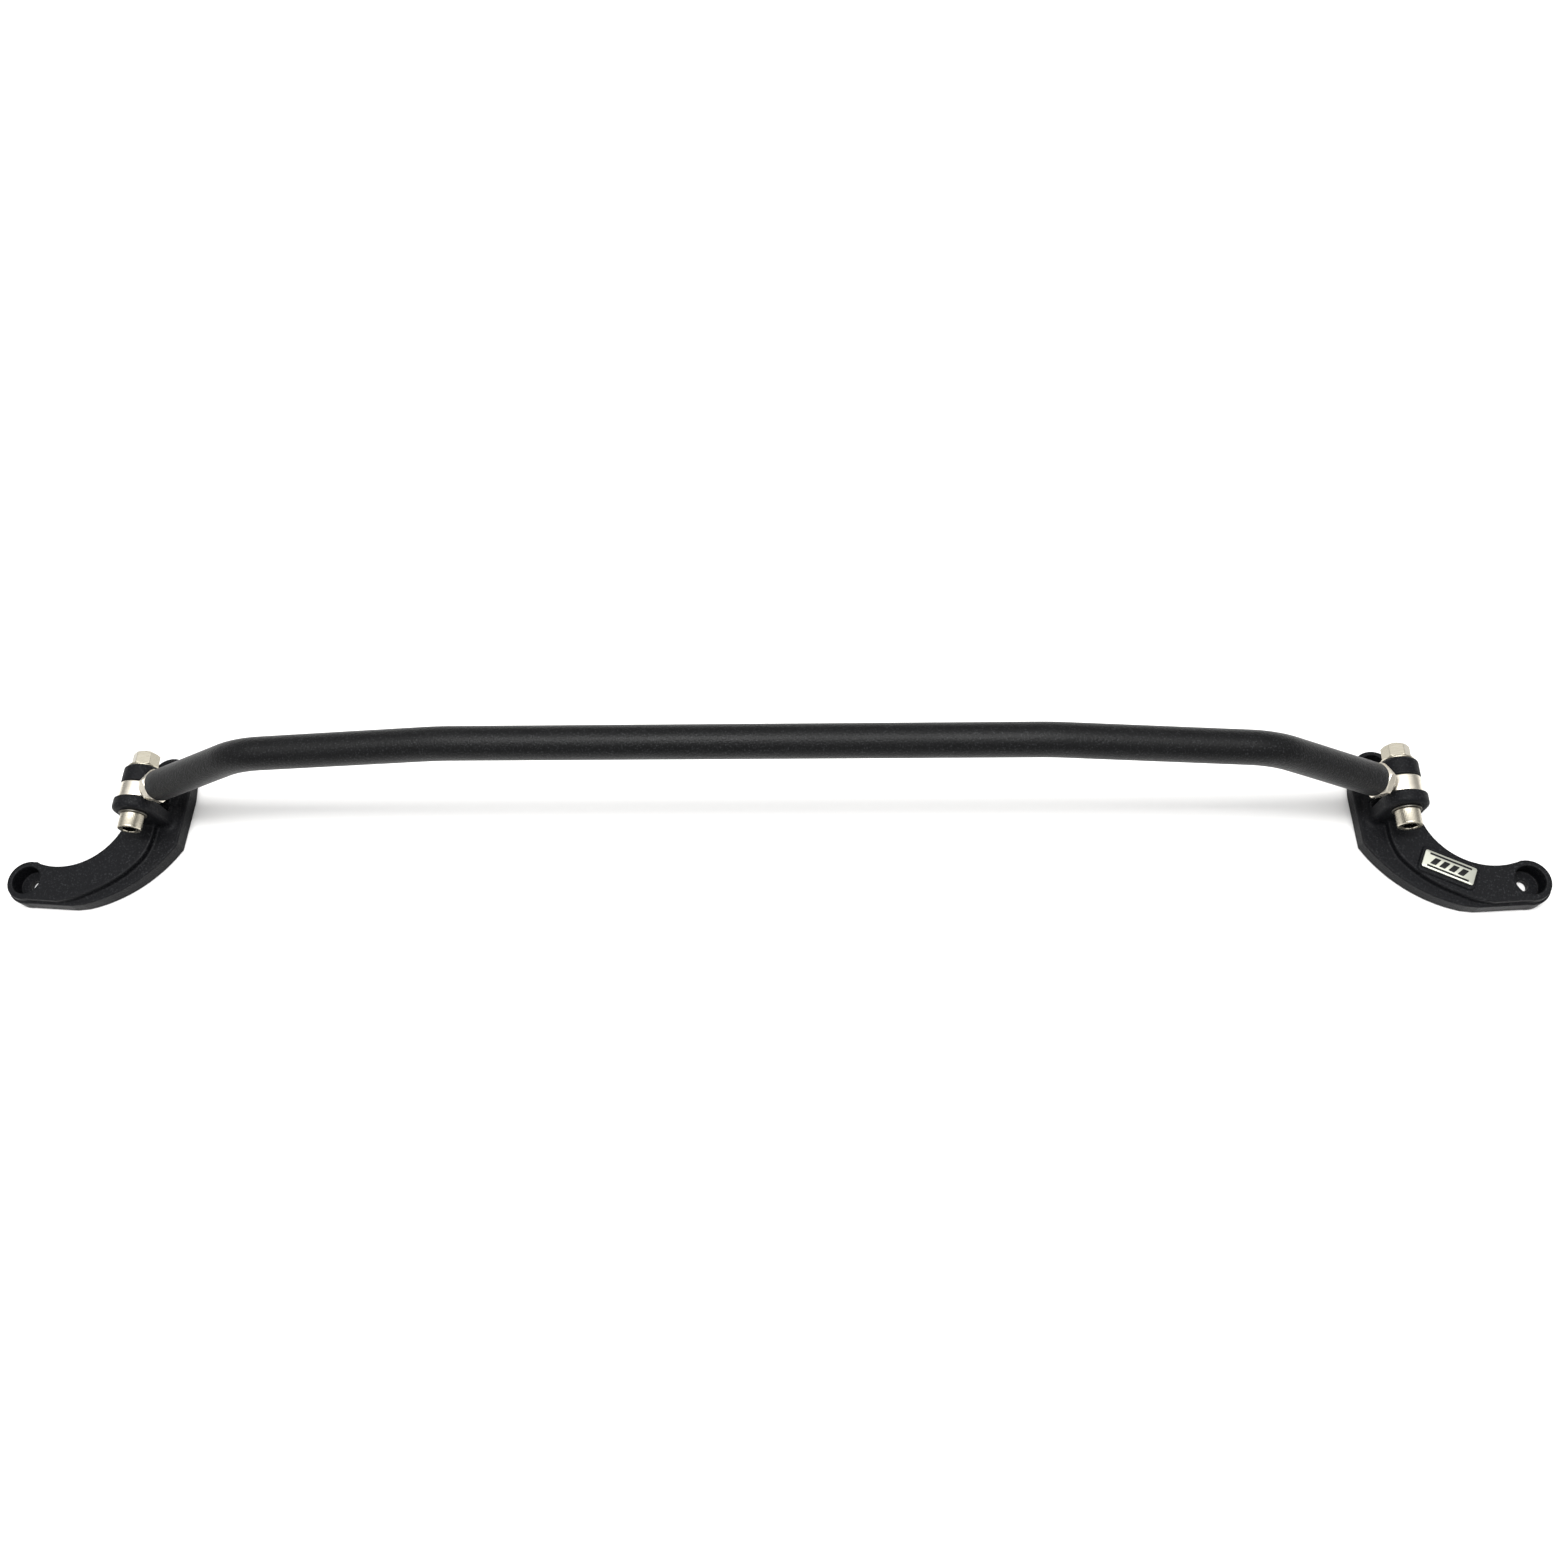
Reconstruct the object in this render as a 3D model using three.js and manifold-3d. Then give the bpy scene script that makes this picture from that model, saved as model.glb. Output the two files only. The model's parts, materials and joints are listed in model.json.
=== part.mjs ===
import * as THREE from 'three';
import { mergeVertices } from 'three/addons/utils/BufferGeometryUtils.js';
import Module from 'manifold-3d';

const wasm = await Module();
wasm.setup();

// All sizes in millimetres. X runs across the bar, Y to the rear, Z up.

// gaps between pieces
const fitGap = 0.3;
const jamGap = 0.4;
const cutSlack = 1;
const weldTolerance = 1e-5;

// facets: full circles, quarter steps of drawn arcs, and small corners
const roundFacets = 30;
const arcSteps = 8;
const cornerSteps = 3;
const hexSides = 6;
const hexCornerUp = 30;
const nutTurn = 15;

// tube
const tubeDiameter = 25.4;
const tubeWall = 2;
const centreHeight = 140;
const shoulderHeight = 122;
const centreStraight = 441;
const shoulderSpan = 756;
const centreBendRadius = 190;
const shoulderBendRadius = 75;
const tubeFacets = 32;
const bendSteps = 4;

// pivots
const pivotSpan = 988;
const pivotHeight = 45;
const boltDiameter = 12;
const boltHeadDiameter = 18;
const boltHeadHeight = 12;
const socketAcrossFlats = 10;
const socketDepth = 6;
const boltStickOut = 2;
const boltTipChamfer = 1;
const headEdgeChamfer = 0.8;
const nutAcrossFlats = 18;
const nutHeight = 10.8;
const headWasherDiameter = 21;
const headWasherThickness = 1.3;
const nutWasherDiameter = 24;
const nutWasherThickness = 1.5;
const washerHoleSlack = 0.5;

// adjustable eye ends
const eyeDiameter = 28;
const eyeWidth = 13;
const eyeEdgeChamfer = 0.8;
const bushWall = 2.7;
const neckDiameter = 19;
const neckLength = 8;
const neckTaper = 3;
const neckClearance = 1;
const shankDiameter = 16;
const shankLength = 76;
const shankTipChamfer = 1.5;
const jamNutDistance = 24.5;
const jamNutAcrossFlats = 24;
const jamNutThickness = 7;
const nutCornerChamfer = 0.9;
const bungLength = 42;

// clevis lugs
const rearLugRadius = 14.2;
const frontLugRadius = 16.4;
const frontLugThickness = 10;
const rearLugThickness = 14;
const frontLugRound = 3.6;
const rearLugRound = 2.8;
const lugRoundSteps = 2;
const pedestalFlare = 5;
const slotFloorHeight = 21;

// bracket plate, placed from the pivot: X outward, Y to the rear
const flangeThickness = 14;
const bandThickness = 20;
const plateEdgeRound = 1.2;
const bandEdgeRound = 1;
const bossRadius = 15.5;
const frontFootRadius = 17.6;
const frontStud = { x: 90.6, y: -64 };
const rearBoss = { x: -8, y: 25.8 };
// behind the rear lug, so that a nut can pass down to it
const rearStud = { x: -8, y: 29.6 };
const studHoleDiameter = 8.5;
const frontCounterboreDiameter = 22.4;
const rearCounterboreDiameter = 17;
const counterboreDepth = 14;
const opening = { x: 67.6, y: -3.5, radius: 49 };
const openingEndAngle = -72;
const frontBossStart = 92;
const frontBossEnd = -97;
const openingStartAngle = 170;
const horn = { x: 23.6, y: 12, lead: 7 };
const bossLeaveAngle = 45;
const outerArc = { x: 66.5, y: 18, radius: 103.4 };
const outerArcEndAngle = -103.5;
const outerArcStartAngle = -151;
const frontCorner = { x: 52, y: -83.6 };
const insideReach = 25.3;
const bandLine = [
  { x: 62, y: -81.2 },
  { x: 49, y: -79 },
  { x: 38, y: -74.6 },
  { x: 26, y: -68.6 },
  { x: 16, y: -62 },
  { x: 8, y: -55 },
  { x: 0, y: -45 },
  { x: -3.5, y: -36 },
  { x: -5, y: -26 },
  { x: -5, y: -10 },
];
const bandLineSteps = 16;

// badge on the right bracket
const badgeCentre = { x: 31.8, y: -55.3 };
const badgeTurn = -25;
const badgeLength = 38;
const badgeWidth = 14.4;
const badgeThickness = 1.2;
const badgeCorner = 1.6;
const badgePadLength = 41.2;
const badgePadWidth = 20.2;
const badgePadCorner = 3.2;
const badgePadHeight = 2.2;

const plateColour = 0x17181a;
const tubeColour = 0x151617;
const silverColour = 0xc9c4b8;
const darkSilverColour = 0x8f8b84;
const bronzeColour = 0x9a7a4c;
const satin = 0.58;
const plated = 0.3;
const coatMetalness = 0.2;
const bareMetalness = 1;

const eyeRadius = eyeDiameter / 2;
const boltRadius = boltDiameter / 2;
const eyeBoreRadius = boltRadius + fitGap + bushWall + fitGap;
const shankRadius = shankDiameter / 2;
const tubeRadius = tubeDiameter / 2;
const slotHalf = eyeWidth / 2 + fitGap;
const frontLugFace = -(slotHalf + frontLugThickness);
const rearLugFace = slotHalf + rearLugThickness;
const tubeEndDistance = jamNutDistance + jamNutThickness + jamGap;

// the last straight of the tube aims at the pivot
const pivot = new THREE.Vector3(pivotSpan / 2, 0, pivotHeight);
const shoulder = new THREE.Vector3(shoulderSpan / 2, 0, shoulderHeight);
const alongTube = shoulder.clone().sub(pivot).normalize();
const tubeEnd = pivot.clone().addScaledVector(alongTube, tubeEndDistance);

const rad = THREE.MathUtils.degToRad;

function solidOf(geometry) {
  const bare = geometry.clone();
  bare.deleteAttribute('normal');
  bare.deleteAttribute('uv');
  const merged = mergeVertices(bare, weldTolerance);
  const vertProperties = new Float32Array(merged.attributes.position.array);
  const triVerts = new Uint32Array(merged.index.array);
  return new wasm.Manifold(new wasm.Mesh({ numProp: 3, vertProperties, triVerts }));
}

function geometryOf(solid) {
  const mesh = solid.getMesh();
  const geometry = new THREE.BufferGeometry();
  geometry.setAttribute('position', new THREE.BufferAttribute(mesh.vertProperties, 3));
  geometry.setIndex(new THREE.BufferAttribute(mesh.triVerts, 1));
  const flat = geometry.toNonIndexed();
  flat.computeVertexNormals();
  return flat;
}

function mirrored(geometry) {
  const copy = geometry.clone();
  const position = copy.attributes.position;
  for (let i = 0; i < position.count; i += 3) {
    for (let corner = 0; corner < 3; corner += 1) {
      position.setX(i + corner, -position.getX(i + corner));
    }
    const x = position.getX(i + 1);
    const y = position.getY(i + 1);
    const z = position.getZ(i + 1);
    position.setXYZ(i + 1, position.getX(i + 2), position.getY(i + 2), position.getZ(i + 2));
    position.setXYZ(i + 2, x, y, z);
  }
  copy.computeVertexNormals();
  return copy;
}

function turned(profile) {
  // profile: [radius, y] pairs round the section, first and last on the axis or closing the loop
  const points = profile.map(([radius, y]) => new THREE.Vector2(radius, y));
  return solidOf(new THREE.LatheGeometry(points, roundFacets));
}

function bar(radius, from, to, facets = roundFacets, phase = 0) {
  const geometry = new THREE.CylinderGeometry(radius, radius, to - from, facets);
  geometry.rotateY(phase);
  geometry.translate(0, (from + to) / 2, 0);
  return solidOf(geometry);
}

function hexBar(acrossFlats, from, to, phase = 0) {
  return bar(acrossFlats / Math.sqrt(3), from, to, hexSides, phase);
}

function hexNut(acrossFlats, boreRadius, from, to, phase) {
  // a hex bar trimmed by a turned blank so its corners are chamfered at both faces
  const corner = acrossFlats / Math.sqrt(3);
  const blank = turned([
    [0, from],
    [corner - nutCornerChamfer, from],
    [corner, from + nutCornerChamfer],
    [corner, to - nutCornerChamfer],
    [corner - nutCornerChamfer, to],
    [0, to],
  ]);
  return hexBar(acrossFlats, from, to, phase)
    .intersect(blank)
    .subtract(bar(boreRadius, from - cutSlack, to + cutSlack));
}

function ring(outerRadius, innerRadius, from, to) {
  return bar(outerRadius, from, to).subtract(bar(innerRadius, from - cutSlack, to + cutSlack));
}

function plate(shape, height, edgeRound, curveSegments = arcSteps) {
  // upright slab whose edges are eased without growing past the drawn outline
  const geometry = new THREE.ExtrudeGeometry(shape, {
    depth: height - 2 * edgeRound,
    bevelEnabled: true,
    bevelThickness: edgeRound,
    bevelSize: edgeRound,
    bevelOffset: -edgeRound,
    bevelSegments: 1,
    curveSegments,
  });
  geometry.translate(0, 0, edgeRound);
  return solidOf(geometry);
}

function onTubeAxis(geometry) {
  // local +Y becomes the direction from the pivot up along the tube end
  const across = new THREE.Vector3(0, 1, 0);
  const upward = new THREE.Vector3().crossVectors(alongTube, across);
  const basis = new THREE.Matrix4().makeBasis(upward, alongTube, across);
  geometry.applyMatrix4(basis);
  geometry.translate(pivot.x, pivot.y, pivot.z);
  return geometry;
}

function atPivot(geometry) {
  geometry.translate(pivot.x, pivot.y, pivot.z);
  return geometry;
}

class BarPath extends THREE.Curve {
  // straights joined by arcs, each straight one step and each bend bendSteps steps
  constructor(corners) {
    super();
    const stations = [corners[0].point];
    for (let i = 1; i < corners.length - 1; i += 1) {
      const here = corners[i].point;
      const into = corners[i - 1].point.clone().sub(here).normalize();
      const out = corners[i + 1].point.clone().sub(here).normalize();
      const half = into.angleTo(out) / 2;
      const tangentLength = corners[i].radius / Math.tan(half);
      const bisector = into.clone().add(out).normalize();
      const centre = here.clone().addScaledVector(bisector, corners[i].radius / Math.sin(half));
      const start = here.clone().addScaledVector(into, tangentLength).sub(centre);
      const end = here.clone().addScaledVector(out, tangentLength).sub(centre);
      const axis = new THREE.Vector3().crossVectors(start, end).normalize();
      const sweep = start.angleTo(end);
      for (let step = 0; step <= bendSteps; step += 1) {
        const spoke = start.clone().applyAxisAngle(axis, (sweep * step) / bendSteps);
        stations.push(spoke.add(centre));
      }
    }
    stations.push(corners[corners.length - 1].point);
    this.stations = stations;
    this.steps = stations.length - 1;
  }

  getPoint(t, target = new THREE.Vector3()) {
    const place = Math.min(t * this.steps, this.steps);
    const index = Math.min(Math.floor(place), this.steps - 1);
    return target.copy(this.stations[index]).lerp(this.stations[index + 1], place - index);
  }

  getPointAt(u, target) {
    return this.getPoint(u, target);
  }

  getTangentAt(u, target = new THREE.Vector3()) {
    // mean of the directions before and after the station, so rings stand square to the bend
    const station = Math.round(u * this.steps);
    const before = this.stations[Math.max(station - 1, 0)];
    const here = this.stations[station];
    const after = this.stations[Math.min(station + 1, this.steps)];
    const arriving = here.clone().sub(before).normalize();
    const leaving = after.clone().sub(here).normalize();
    return target.copy(arriving).add(leaving).normalize();
  }
}

function tubeGeometry() {
  const centreCorner = new THREE.Vector3(centreStraight / 2, 0, centreHeight);
  const rightHalf = [
    { point: centreCorner, radius: centreBendRadius },
    { point: shoulder, radius: shoulderBendRadius },
    { point: tubeEnd },
  ];
  const flipped = rightHalf.map(({ point, radius }) => {
    return { point: new THREE.Vector3(-point.x, point.y, point.z), radius };
  });
  const path = new BarPath([...flipped.reverse(), ...rightHalf]);
  const section = new THREE.Shape();
  section.absarc(0, 0, tubeRadius, 0, 2 * Math.PI, false);
  const hollow = new THREE.Path();
  hollow.absarc(0, 0, tubeRadius - tubeWall, 0, 2 * Math.PI, true);
  section.holes.push(hollow);
  const geometry = new THREE.ExtrudeGeometry(section, {
    steps: path.steps,
    extrudePath: path,
    curveSegments: tubeFacets / 2,
  });
  return geometryOf(solidOf(geometry));
}

function bungGeometry() {
  const outer = tubeRadius - tubeWall - fitGap;
  const inner = shankRadius + fitGap;
  const from = tubeEndDistance;
  return onTubeAxis(geometryOf(ring(outer, inner, from, from + bungLength)));
}

function jamNutGeometry() {
  const to = jamNutDistance + jamNutThickness;
  const turn = rad(hexCornerUp);
  const nut = hexNut(jamNutAcrossFlats, shankRadius + fitGap, jamNutDistance, to, turn);
  return onTubeAxis(geometryOf(nut));
}

function eyeEndGeometry() {
  // the eye is turned about the bolt axis, its neck and threaded shank about the tube axis
  const half = eyeWidth / 2;
  const eyeBlank = turned([
    [0, -half],
    [eyeRadius - eyeEdgeChamfer, -half],
    [eyeRadius, -half + eyeEdgeChamfer],
    [eyeRadius, half - eyeEdgeChamfer],
    [eyeRadius - eyeEdgeChamfer, half],
    [0, half],
  ]);
  const neckEnd = eyeRadius + neckLength;
  const neckStart = eyeBoreRadius + cutSlack;
  const taperStart = Math.max(eyeRadius, frontLugRadius) + neckClearance;
  const stem = turned([
    [0, neckStart],
    [half - eyeEdgeChamfer, neckStart],
    [half - eyeEdgeChamfer, taperStart],
    [neckDiameter / 2, taperStart + neckTaper],
    [neckDiameter / 2, neckEnd],
    [shankRadius, neckEnd],
    [shankRadius, shankLength - shankTipChamfer],
    [shankRadius - shankTipChamfer, shankLength],
    [0, shankLength],
  ]);
  const stemMesh = onTubeAxis(geometryOf(stem));
  const eyeMesh = atPivot(geometryOf(eyeBlank));
  const bore = atPivot(geometryOf(bar(eyeBoreRadius, -half - cutSlack, half + cutSlack)));
  return geometryOf(solidOf(eyeMesh).add(solidOf(stemMesh)).subtract(solidOf(bore)));
}

function bushGeometry() {
  const half = eyeWidth / 2;
  const inner = boltRadius + fitGap;
  return atPivot(geometryOf(ring(inner + bushWall, inner, -half, half)));
}

const headFace = frontLugFace - fitGap - headWasherThickness - fitGap;
const nutFace = rearLugFace + fitGap + nutWasherThickness + fitGap;
const socketTurn = rad(hexCornerUp);

function boltGeometry() {
  const headRadius = boltHeadDiameter / 2;
  const headEnd = headFace - boltHeadHeight;
  const tip = nutFace + nutHeight + boltStickOut;
  const body = turned([
    [0, headEnd],
    [headRadius - headEdgeChamfer, headEnd],
    [headRadius, headEnd + headEdgeChamfer],
    [headRadius, headFace],
    [boltRadius, headFace],
    [boltRadius, tip - boltTipChamfer],
    [boltRadius - boltTipChamfer, tip],
    [0, tip],
  ]);
  const socket = hexBar(socketAcrossFlats, headEnd - cutSlack, headEnd + socketDepth, socketTurn);
  return atPivot(geometryOf(body.subtract(socket)));
}

function pivotNutGeometry() {
  const to = nutFace + nutHeight;
  const nut = hexNut(nutAcrossFlats, boltRadius + fitGap, nutFace, to, rad(nutTurn));
  return atPivot(geometryOf(nut));
}

function headWasherGeometry() {
  const from = headFace + fitGap;
  const to = from + headWasherThickness;
  const washer = ring(headWasherDiameter / 2, boltRadius + washerHoleSlack, from, to);
  return atPivot(geometryOf(washer));
}

function nutWasherGeometry() {
  const from = rearLugFace + fitGap;
  const to = from + nutWasherThickness;
  const washer = ring(nutWasherDiameter / 2, boltRadius + washerHoleSlack, from, to);
  return atPivot(geometryOf(washer));
}

function concaveEdge(shape) {
  // from the rear boss past the horn, round the strut opening to the front boss
  const leave = rad(bossLeaveAngle);
  const leaveX = rearBoss.x + bossRadius * Math.cos(leave);
  const leaveY = rearBoss.y + bossRadius * Math.sin(leave);
  const share = horn.lead / Math.hypot(horn.x - leaveX, horn.y - leaveY);
  const start = rad(openingStartAngle);
  const startX = opening.x + opening.radius * Math.cos(start);
  const startY = opening.y + opening.radius * Math.sin(start);
  shape.lineTo(horn.x + (leaveX - horn.x) * share, horn.y + (leaveY - horn.y) * share);
  shape.quadraticCurveTo(horn.x, horn.y, startX, startY);
  shape.absarc(opening.x, opening.y, opening.radius, start, rad(360 + openingEndAngle), false);
}

function outlineShape() {
  const shape = new THREE.Shape();
  shape.moveTo(rearBoss.x - bossRadius, rearBoss.y);
  shape.absarc(rearBoss.x, rearBoss.y, bossRadius, Math.PI, rad(bossLeaveAngle), true);
  concaveEdge(shape);
  const bossStart = rad(frontBossStart);
  const bossEnd = rad(frontBossEnd);
  const arcStart = rad(outerArcStartAngle);
  const arcEnd = rad(outerArcEndAngle);
  shape.absarc(frontStud.x, frontStud.y, frontFootRadius, bossStart, bossEnd, true);
  shape.lineTo(frontCorner.x, frontCorner.y);
  shape.absarc(outerArc.x, outerArc.y, outerArc.radius, arcEnd, arcStart, true);
  shape.lineTo(-insideReach, rearBoss.y - bossRadius);
  return shape;
}

function bandShape() {
  // the raised band between the strut opening and the step line
  const shape = new THREE.Shape();
  shape.moveTo(rearBoss.x, rearBoss.y - bossRadius);
  shape.lineTo(rearBoss.x, rearBoss.y);
  concaveEdge(shape);
  shape.absarc(frontStud.x, frontStud.y, bossRadius, rad(frontBossStart), rad(frontBossEnd), true);
  const line = new THREE.SplineCurve(bandLine.map(({ x, y }) => new THREE.Vector2(x, y)));
  for (const point of line.getPoints(bandLineSteps)) {
    shape.lineTo(point.x, point.y);
  }
  return shape;
}

function lugSolid(radius, from, to, edgeRound) {
  // side view, X outward and Y up from the pivot, carried rearwards between two planes
  const shape = new THREE.Shape();
  const foot = -pivotHeight + flangeThickness / 2;
  const flareTop = -pivotHeight + bandThickness + pedestalFlare;
  shape.moveTo(-radius - pedestalFlare, foot);
  shape.lineTo(radius, foot);
  shape.absarc(0, 0, radius, 0, Math.PI, false);
  shape.lineTo(-radius, flareTop);
  shape.lineTo(-radius - pedestalFlare, flareTop - pedestalFlare);
  const geometry = new THREE.ExtrudeGeometry(shape, {
    depth: to - from - 2 * edgeRound,
    bevelEnabled: true,
    bevelThickness: edgeRound,
    bevelSize: edgeRound,
    bevelOffset: -edgeRound,
    bevelSegments: lugRoundSteps,
    curveSegments: arcSteps,
  });
  geometry.rotateX(Math.PI / 2);
  geometry.translate(0, to - edgeRound, pivotHeight);
  return solidOf(geometry);
}

function box(sizeX, sizeY, sizeZ, x, y, z) {
  const geometry = new THREE.BoxGeometry(sizeX, sizeY, sizeZ);
  geometry.translate(x, y, z);
  return solidOf(geometry);
}

function studHole({ x, y }, counterboreDiameter) {
  const bore = studHoleDiameter / 2;
  const seat = counterboreDiameter / 2;
  const through = new THREE.CylinderGeometry(bore, bore, 3 * bandThickness, roundFacets);
  through.rotateX(Math.PI / 2);
  through.translate(x, y, 0);
  const sink = new THREE.CylinderGeometry(seat, seat, bandThickness, roundFacets);
  sink.rotateX(Math.PI / 2);
  sink.translate(x, y, bandThickness - counterboreDepth + bandThickness / 2);
  return solidOf(through).add(solidOf(sink));
}

function boss({ x, y }, footRadius) {
  // wider at the foot than at the top, like any cast boss
  const rim = bandThickness - bandEdgeRound;
  const blank = turned([
    [0, 0],
    [footRadius - plateEdgeRound, 0],
    [footRadius, plateEdgeRound],
    [bossRadius, rim],
    [bossRadius - bandEdgeRound, bandThickness],
    [0, bandThickness],
  ]);
  const geometry = geometryOf(blank);
  geometry.rotateX(Math.PI / 2);
  geometry.translate(x, y, 0);
  return solidOf(geometry);
}

function roundedRectangle(length, width, corner) {
  const shape = new THREE.Shape();
  const x = length / 2;
  const y = width / 2;
  shape.moveTo(x, -y + corner);
  shape.absarc(x - corner, y - corner, corner, 0, rad(90), false);
  shape.absarc(-x + corner, y - corner, corner, rad(90), rad(180), false);
  shape.absarc(-x + corner, -y + corner, corner, rad(180), rad(270), false);
  shape.absarc(x - corner, -y + corner, corner, rad(270), rad(360), false);
  return shape;
}

function onBadgePlace(geometry, height) {
  geometry.rotateZ(rad(badgeTurn));
  geometry.translate(badgeCentre.x, badgeCentre.y, height);
  return geometry;
}

function bracketGeometry(withBadgePad) {
  let body = plate(outlineShape(), flangeThickness, plateEdgeRound)
    .add(plate(bandShape(), bandThickness, bandEdgeRound))
    .add(boss(frontStud, frontFootRadius))
    .add(boss(rearBoss, bossRadius));
  if (withBadgePad) {
    const shape = roundedRectangle(badgePadLength, badgePadWidth, badgePadCorner);
    const pad = new THREE.ExtrudeGeometry(shape, {
      depth: bandThickness / 2 + badgePadHeight,
      bevelEnabled: false,
      curveSegments: cornerSteps,
    });
    body = body.add(solidOf(onBadgePlace(pad, bandThickness / 2)));
  }
  const slotReach = frontLugRadius + pedestalFlare + cutSlack;
  const slotTop = pivotHeight + frontLugRadius + cutSlack;
  const slot = box(
    2 * slotReach,
    2 * slotHalf,
    slotTop - slotFloorHeight,
    0,
    0,
    (slotTop + slotFloorHeight) / 2,
  );
  const frontLug = lugSolid(frontLugRadius, frontLugFace, slotHalf, frontLugRound);
  const rearLug = lugSolid(rearLugRadius, -slotHalf, rearLugFace, rearLugRound);
  const pinHole = geometryOf(bar(boltRadius + fitGap, frontLugFace - cutSlack, rearLugFace + cutSlack));
  pinHole.translate(0, 0, pivotHeight);
  body = body
    .add(frontLug)
    .add(rearLug)
    .subtract(slot)
    .subtract(solidOf(pinHole))
    .subtract(studHole(frontStud, frontCounterboreDiameter))
    .subtract(studHole(rearStud, rearCounterboreDiameter));
  const geometry = geometryOf(body);
  geometry.translate(pivot.x, 0, 0);
  return geometry;
}

function badgeGeometry() {
  const shape = roundedRectangle(badgeLength, badgeWidth, badgeCorner);
  const geometry = new THREE.ExtrudeGeometry(shape, {
    depth: badgeThickness,
    bevelEnabled: false,
    curveSegments: cornerSteps,
  });
  onBadgePlace(geometry, bandThickness + badgePadHeight + fitGap);
  const solid = geometryOf(solidOf(geometry));
  solid.translate(pivot.x, 0, 0);
  return solid;
}

const part = new THREE.Group();
part.name = 'strut_tower_brace';

function addPiece(name, geometry, color, roughness, metalness) {
  const material = new THREE.MeshStandardMaterial({ color, roughness, metalness });
  const mesh = new THREE.Mesh(geometry, material);
  mesh.name = name;
  part.add(mesh);
}

function addPair(name, geometry, color, roughness, metalness) {
  addPiece(`${name}_right`, geometry, color, roughness, metalness);
  addPiece(`${name}_left`, mirrored(geometry), color, roughness, metalness);
}

addPiece('bar_tube', tubeGeometry(), tubeColour, satin, coatMetalness);
addPair('tube_bung', bungGeometry(), darkSilverColour, plated, bareMetalness);
addPair('jam_nut', jamNutGeometry(), silverColour, plated, bareMetalness);
addPair('eye_end', eyeEndGeometry(), silverColour, plated, bareMetalness);
addPair('eye_bush', bushGeometry(), bronzeColour, plated, bareMetalness);
addPiece('bracket_right', bracketGeometry(true), plateColour, satin, coatMetalness);
addPiece('bracket_left', mirrored(bracketGeometry(false)), plateColour, satin, coatMetalness);
addPair('pivot_bolt', boltGeometry(), silverColour, plated, bareMetalness);
addPair('pivot_nut', pivotNutGeometry(), silverColour, plated, bareMetalness);
addPair('head_washer', headWasherGeometry(), darkSilverColour, plated, bareMetalness);
addPair('nut_washer', nutWasherGeometry(), silverColour, plated, bareMetalness);
addPiece('badge_plate', badgeGeometry(), silverColour, plated, bareMetalness);

// the origin is the middle of the footprint, on the ground
const bounds = new THREE.Box3().setFromObject(part);
for (const mesh of part.children) {
  mesh.geometry.translate(0, -(bounds.min.y + bounds.max.y) / 2, -bounds.min.z);
}

export default part;
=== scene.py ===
import functools
import json
import math
import bpy
import numpy as np
from mathutils import Matrix, Vector


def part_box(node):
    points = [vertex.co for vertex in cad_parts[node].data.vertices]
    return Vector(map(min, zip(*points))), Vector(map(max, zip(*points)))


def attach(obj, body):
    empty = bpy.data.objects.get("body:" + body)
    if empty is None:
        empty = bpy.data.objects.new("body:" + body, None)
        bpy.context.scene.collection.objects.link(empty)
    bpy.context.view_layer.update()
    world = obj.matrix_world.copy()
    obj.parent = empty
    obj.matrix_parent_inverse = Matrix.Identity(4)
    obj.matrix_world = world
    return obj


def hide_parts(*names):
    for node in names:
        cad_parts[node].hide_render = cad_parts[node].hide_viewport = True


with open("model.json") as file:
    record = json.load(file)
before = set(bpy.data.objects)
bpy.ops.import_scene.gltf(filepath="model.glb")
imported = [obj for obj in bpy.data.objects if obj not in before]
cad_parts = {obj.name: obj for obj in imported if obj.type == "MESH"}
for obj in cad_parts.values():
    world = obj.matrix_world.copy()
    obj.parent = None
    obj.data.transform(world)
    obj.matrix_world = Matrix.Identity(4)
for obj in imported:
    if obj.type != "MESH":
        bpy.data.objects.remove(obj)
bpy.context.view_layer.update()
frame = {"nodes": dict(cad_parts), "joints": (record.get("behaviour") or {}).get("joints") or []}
print("frame loaded:", len(frame["nodes"]), "nodes")

mm = 0.001
tau = 2 * math.pi
sides = {"right": 1.0, "left": -1.0}
ringSharp, nutSharp, boltSharp = 40, 28, 30  # in degrees, above which an edge stays crisp
tiny, leastBlend = 1e-12, 1e-6


def middleOf(node):
    # halfway between the lowest and highest corner of a node
    low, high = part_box(node)
    return (np.array(low) + np.array(high)) / 2


def jointAxis(name):
    # the direction that the frame gives for a joint
    found = [j for j in frame["joints"] if j["name"] == name]
    return np.array(found[0]["axis"], float)


pivotPoint = middleOf("eye_bush_right")
tubeLine = -jointAxis("adjust_right")
tubeLine = tubeLine / np.linalg.norm(tubeLine)
crossLine = np.array([0.0, 1.0, 0.0])
upLine = np.array([tubeLine[2], 0.0, -tubeLine[0]])


def alongBolt(points):
    # local x outward, y to the rear, z up, from the pivot, in millimetres
    return points * mm + pivotPoint


def alongTube(points):
    # local x up from the tube line, y along it from the pivot, z to the rear
    world = points[:, :1] * upLine + points[:, 1:2] * tubeLine + points[:, 2:3] * crossLine
    return world * mm + pivotPoint


def onPlate(points):
    # local x outward and y to the rear from the pivot, z up from the ground
    return points * mm + np.array([pivotPoint[0], pivotPoint[1], 0.0])


def asBuilt(points):
    # already in the frame, only turned into metres
    return points * mm


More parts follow.
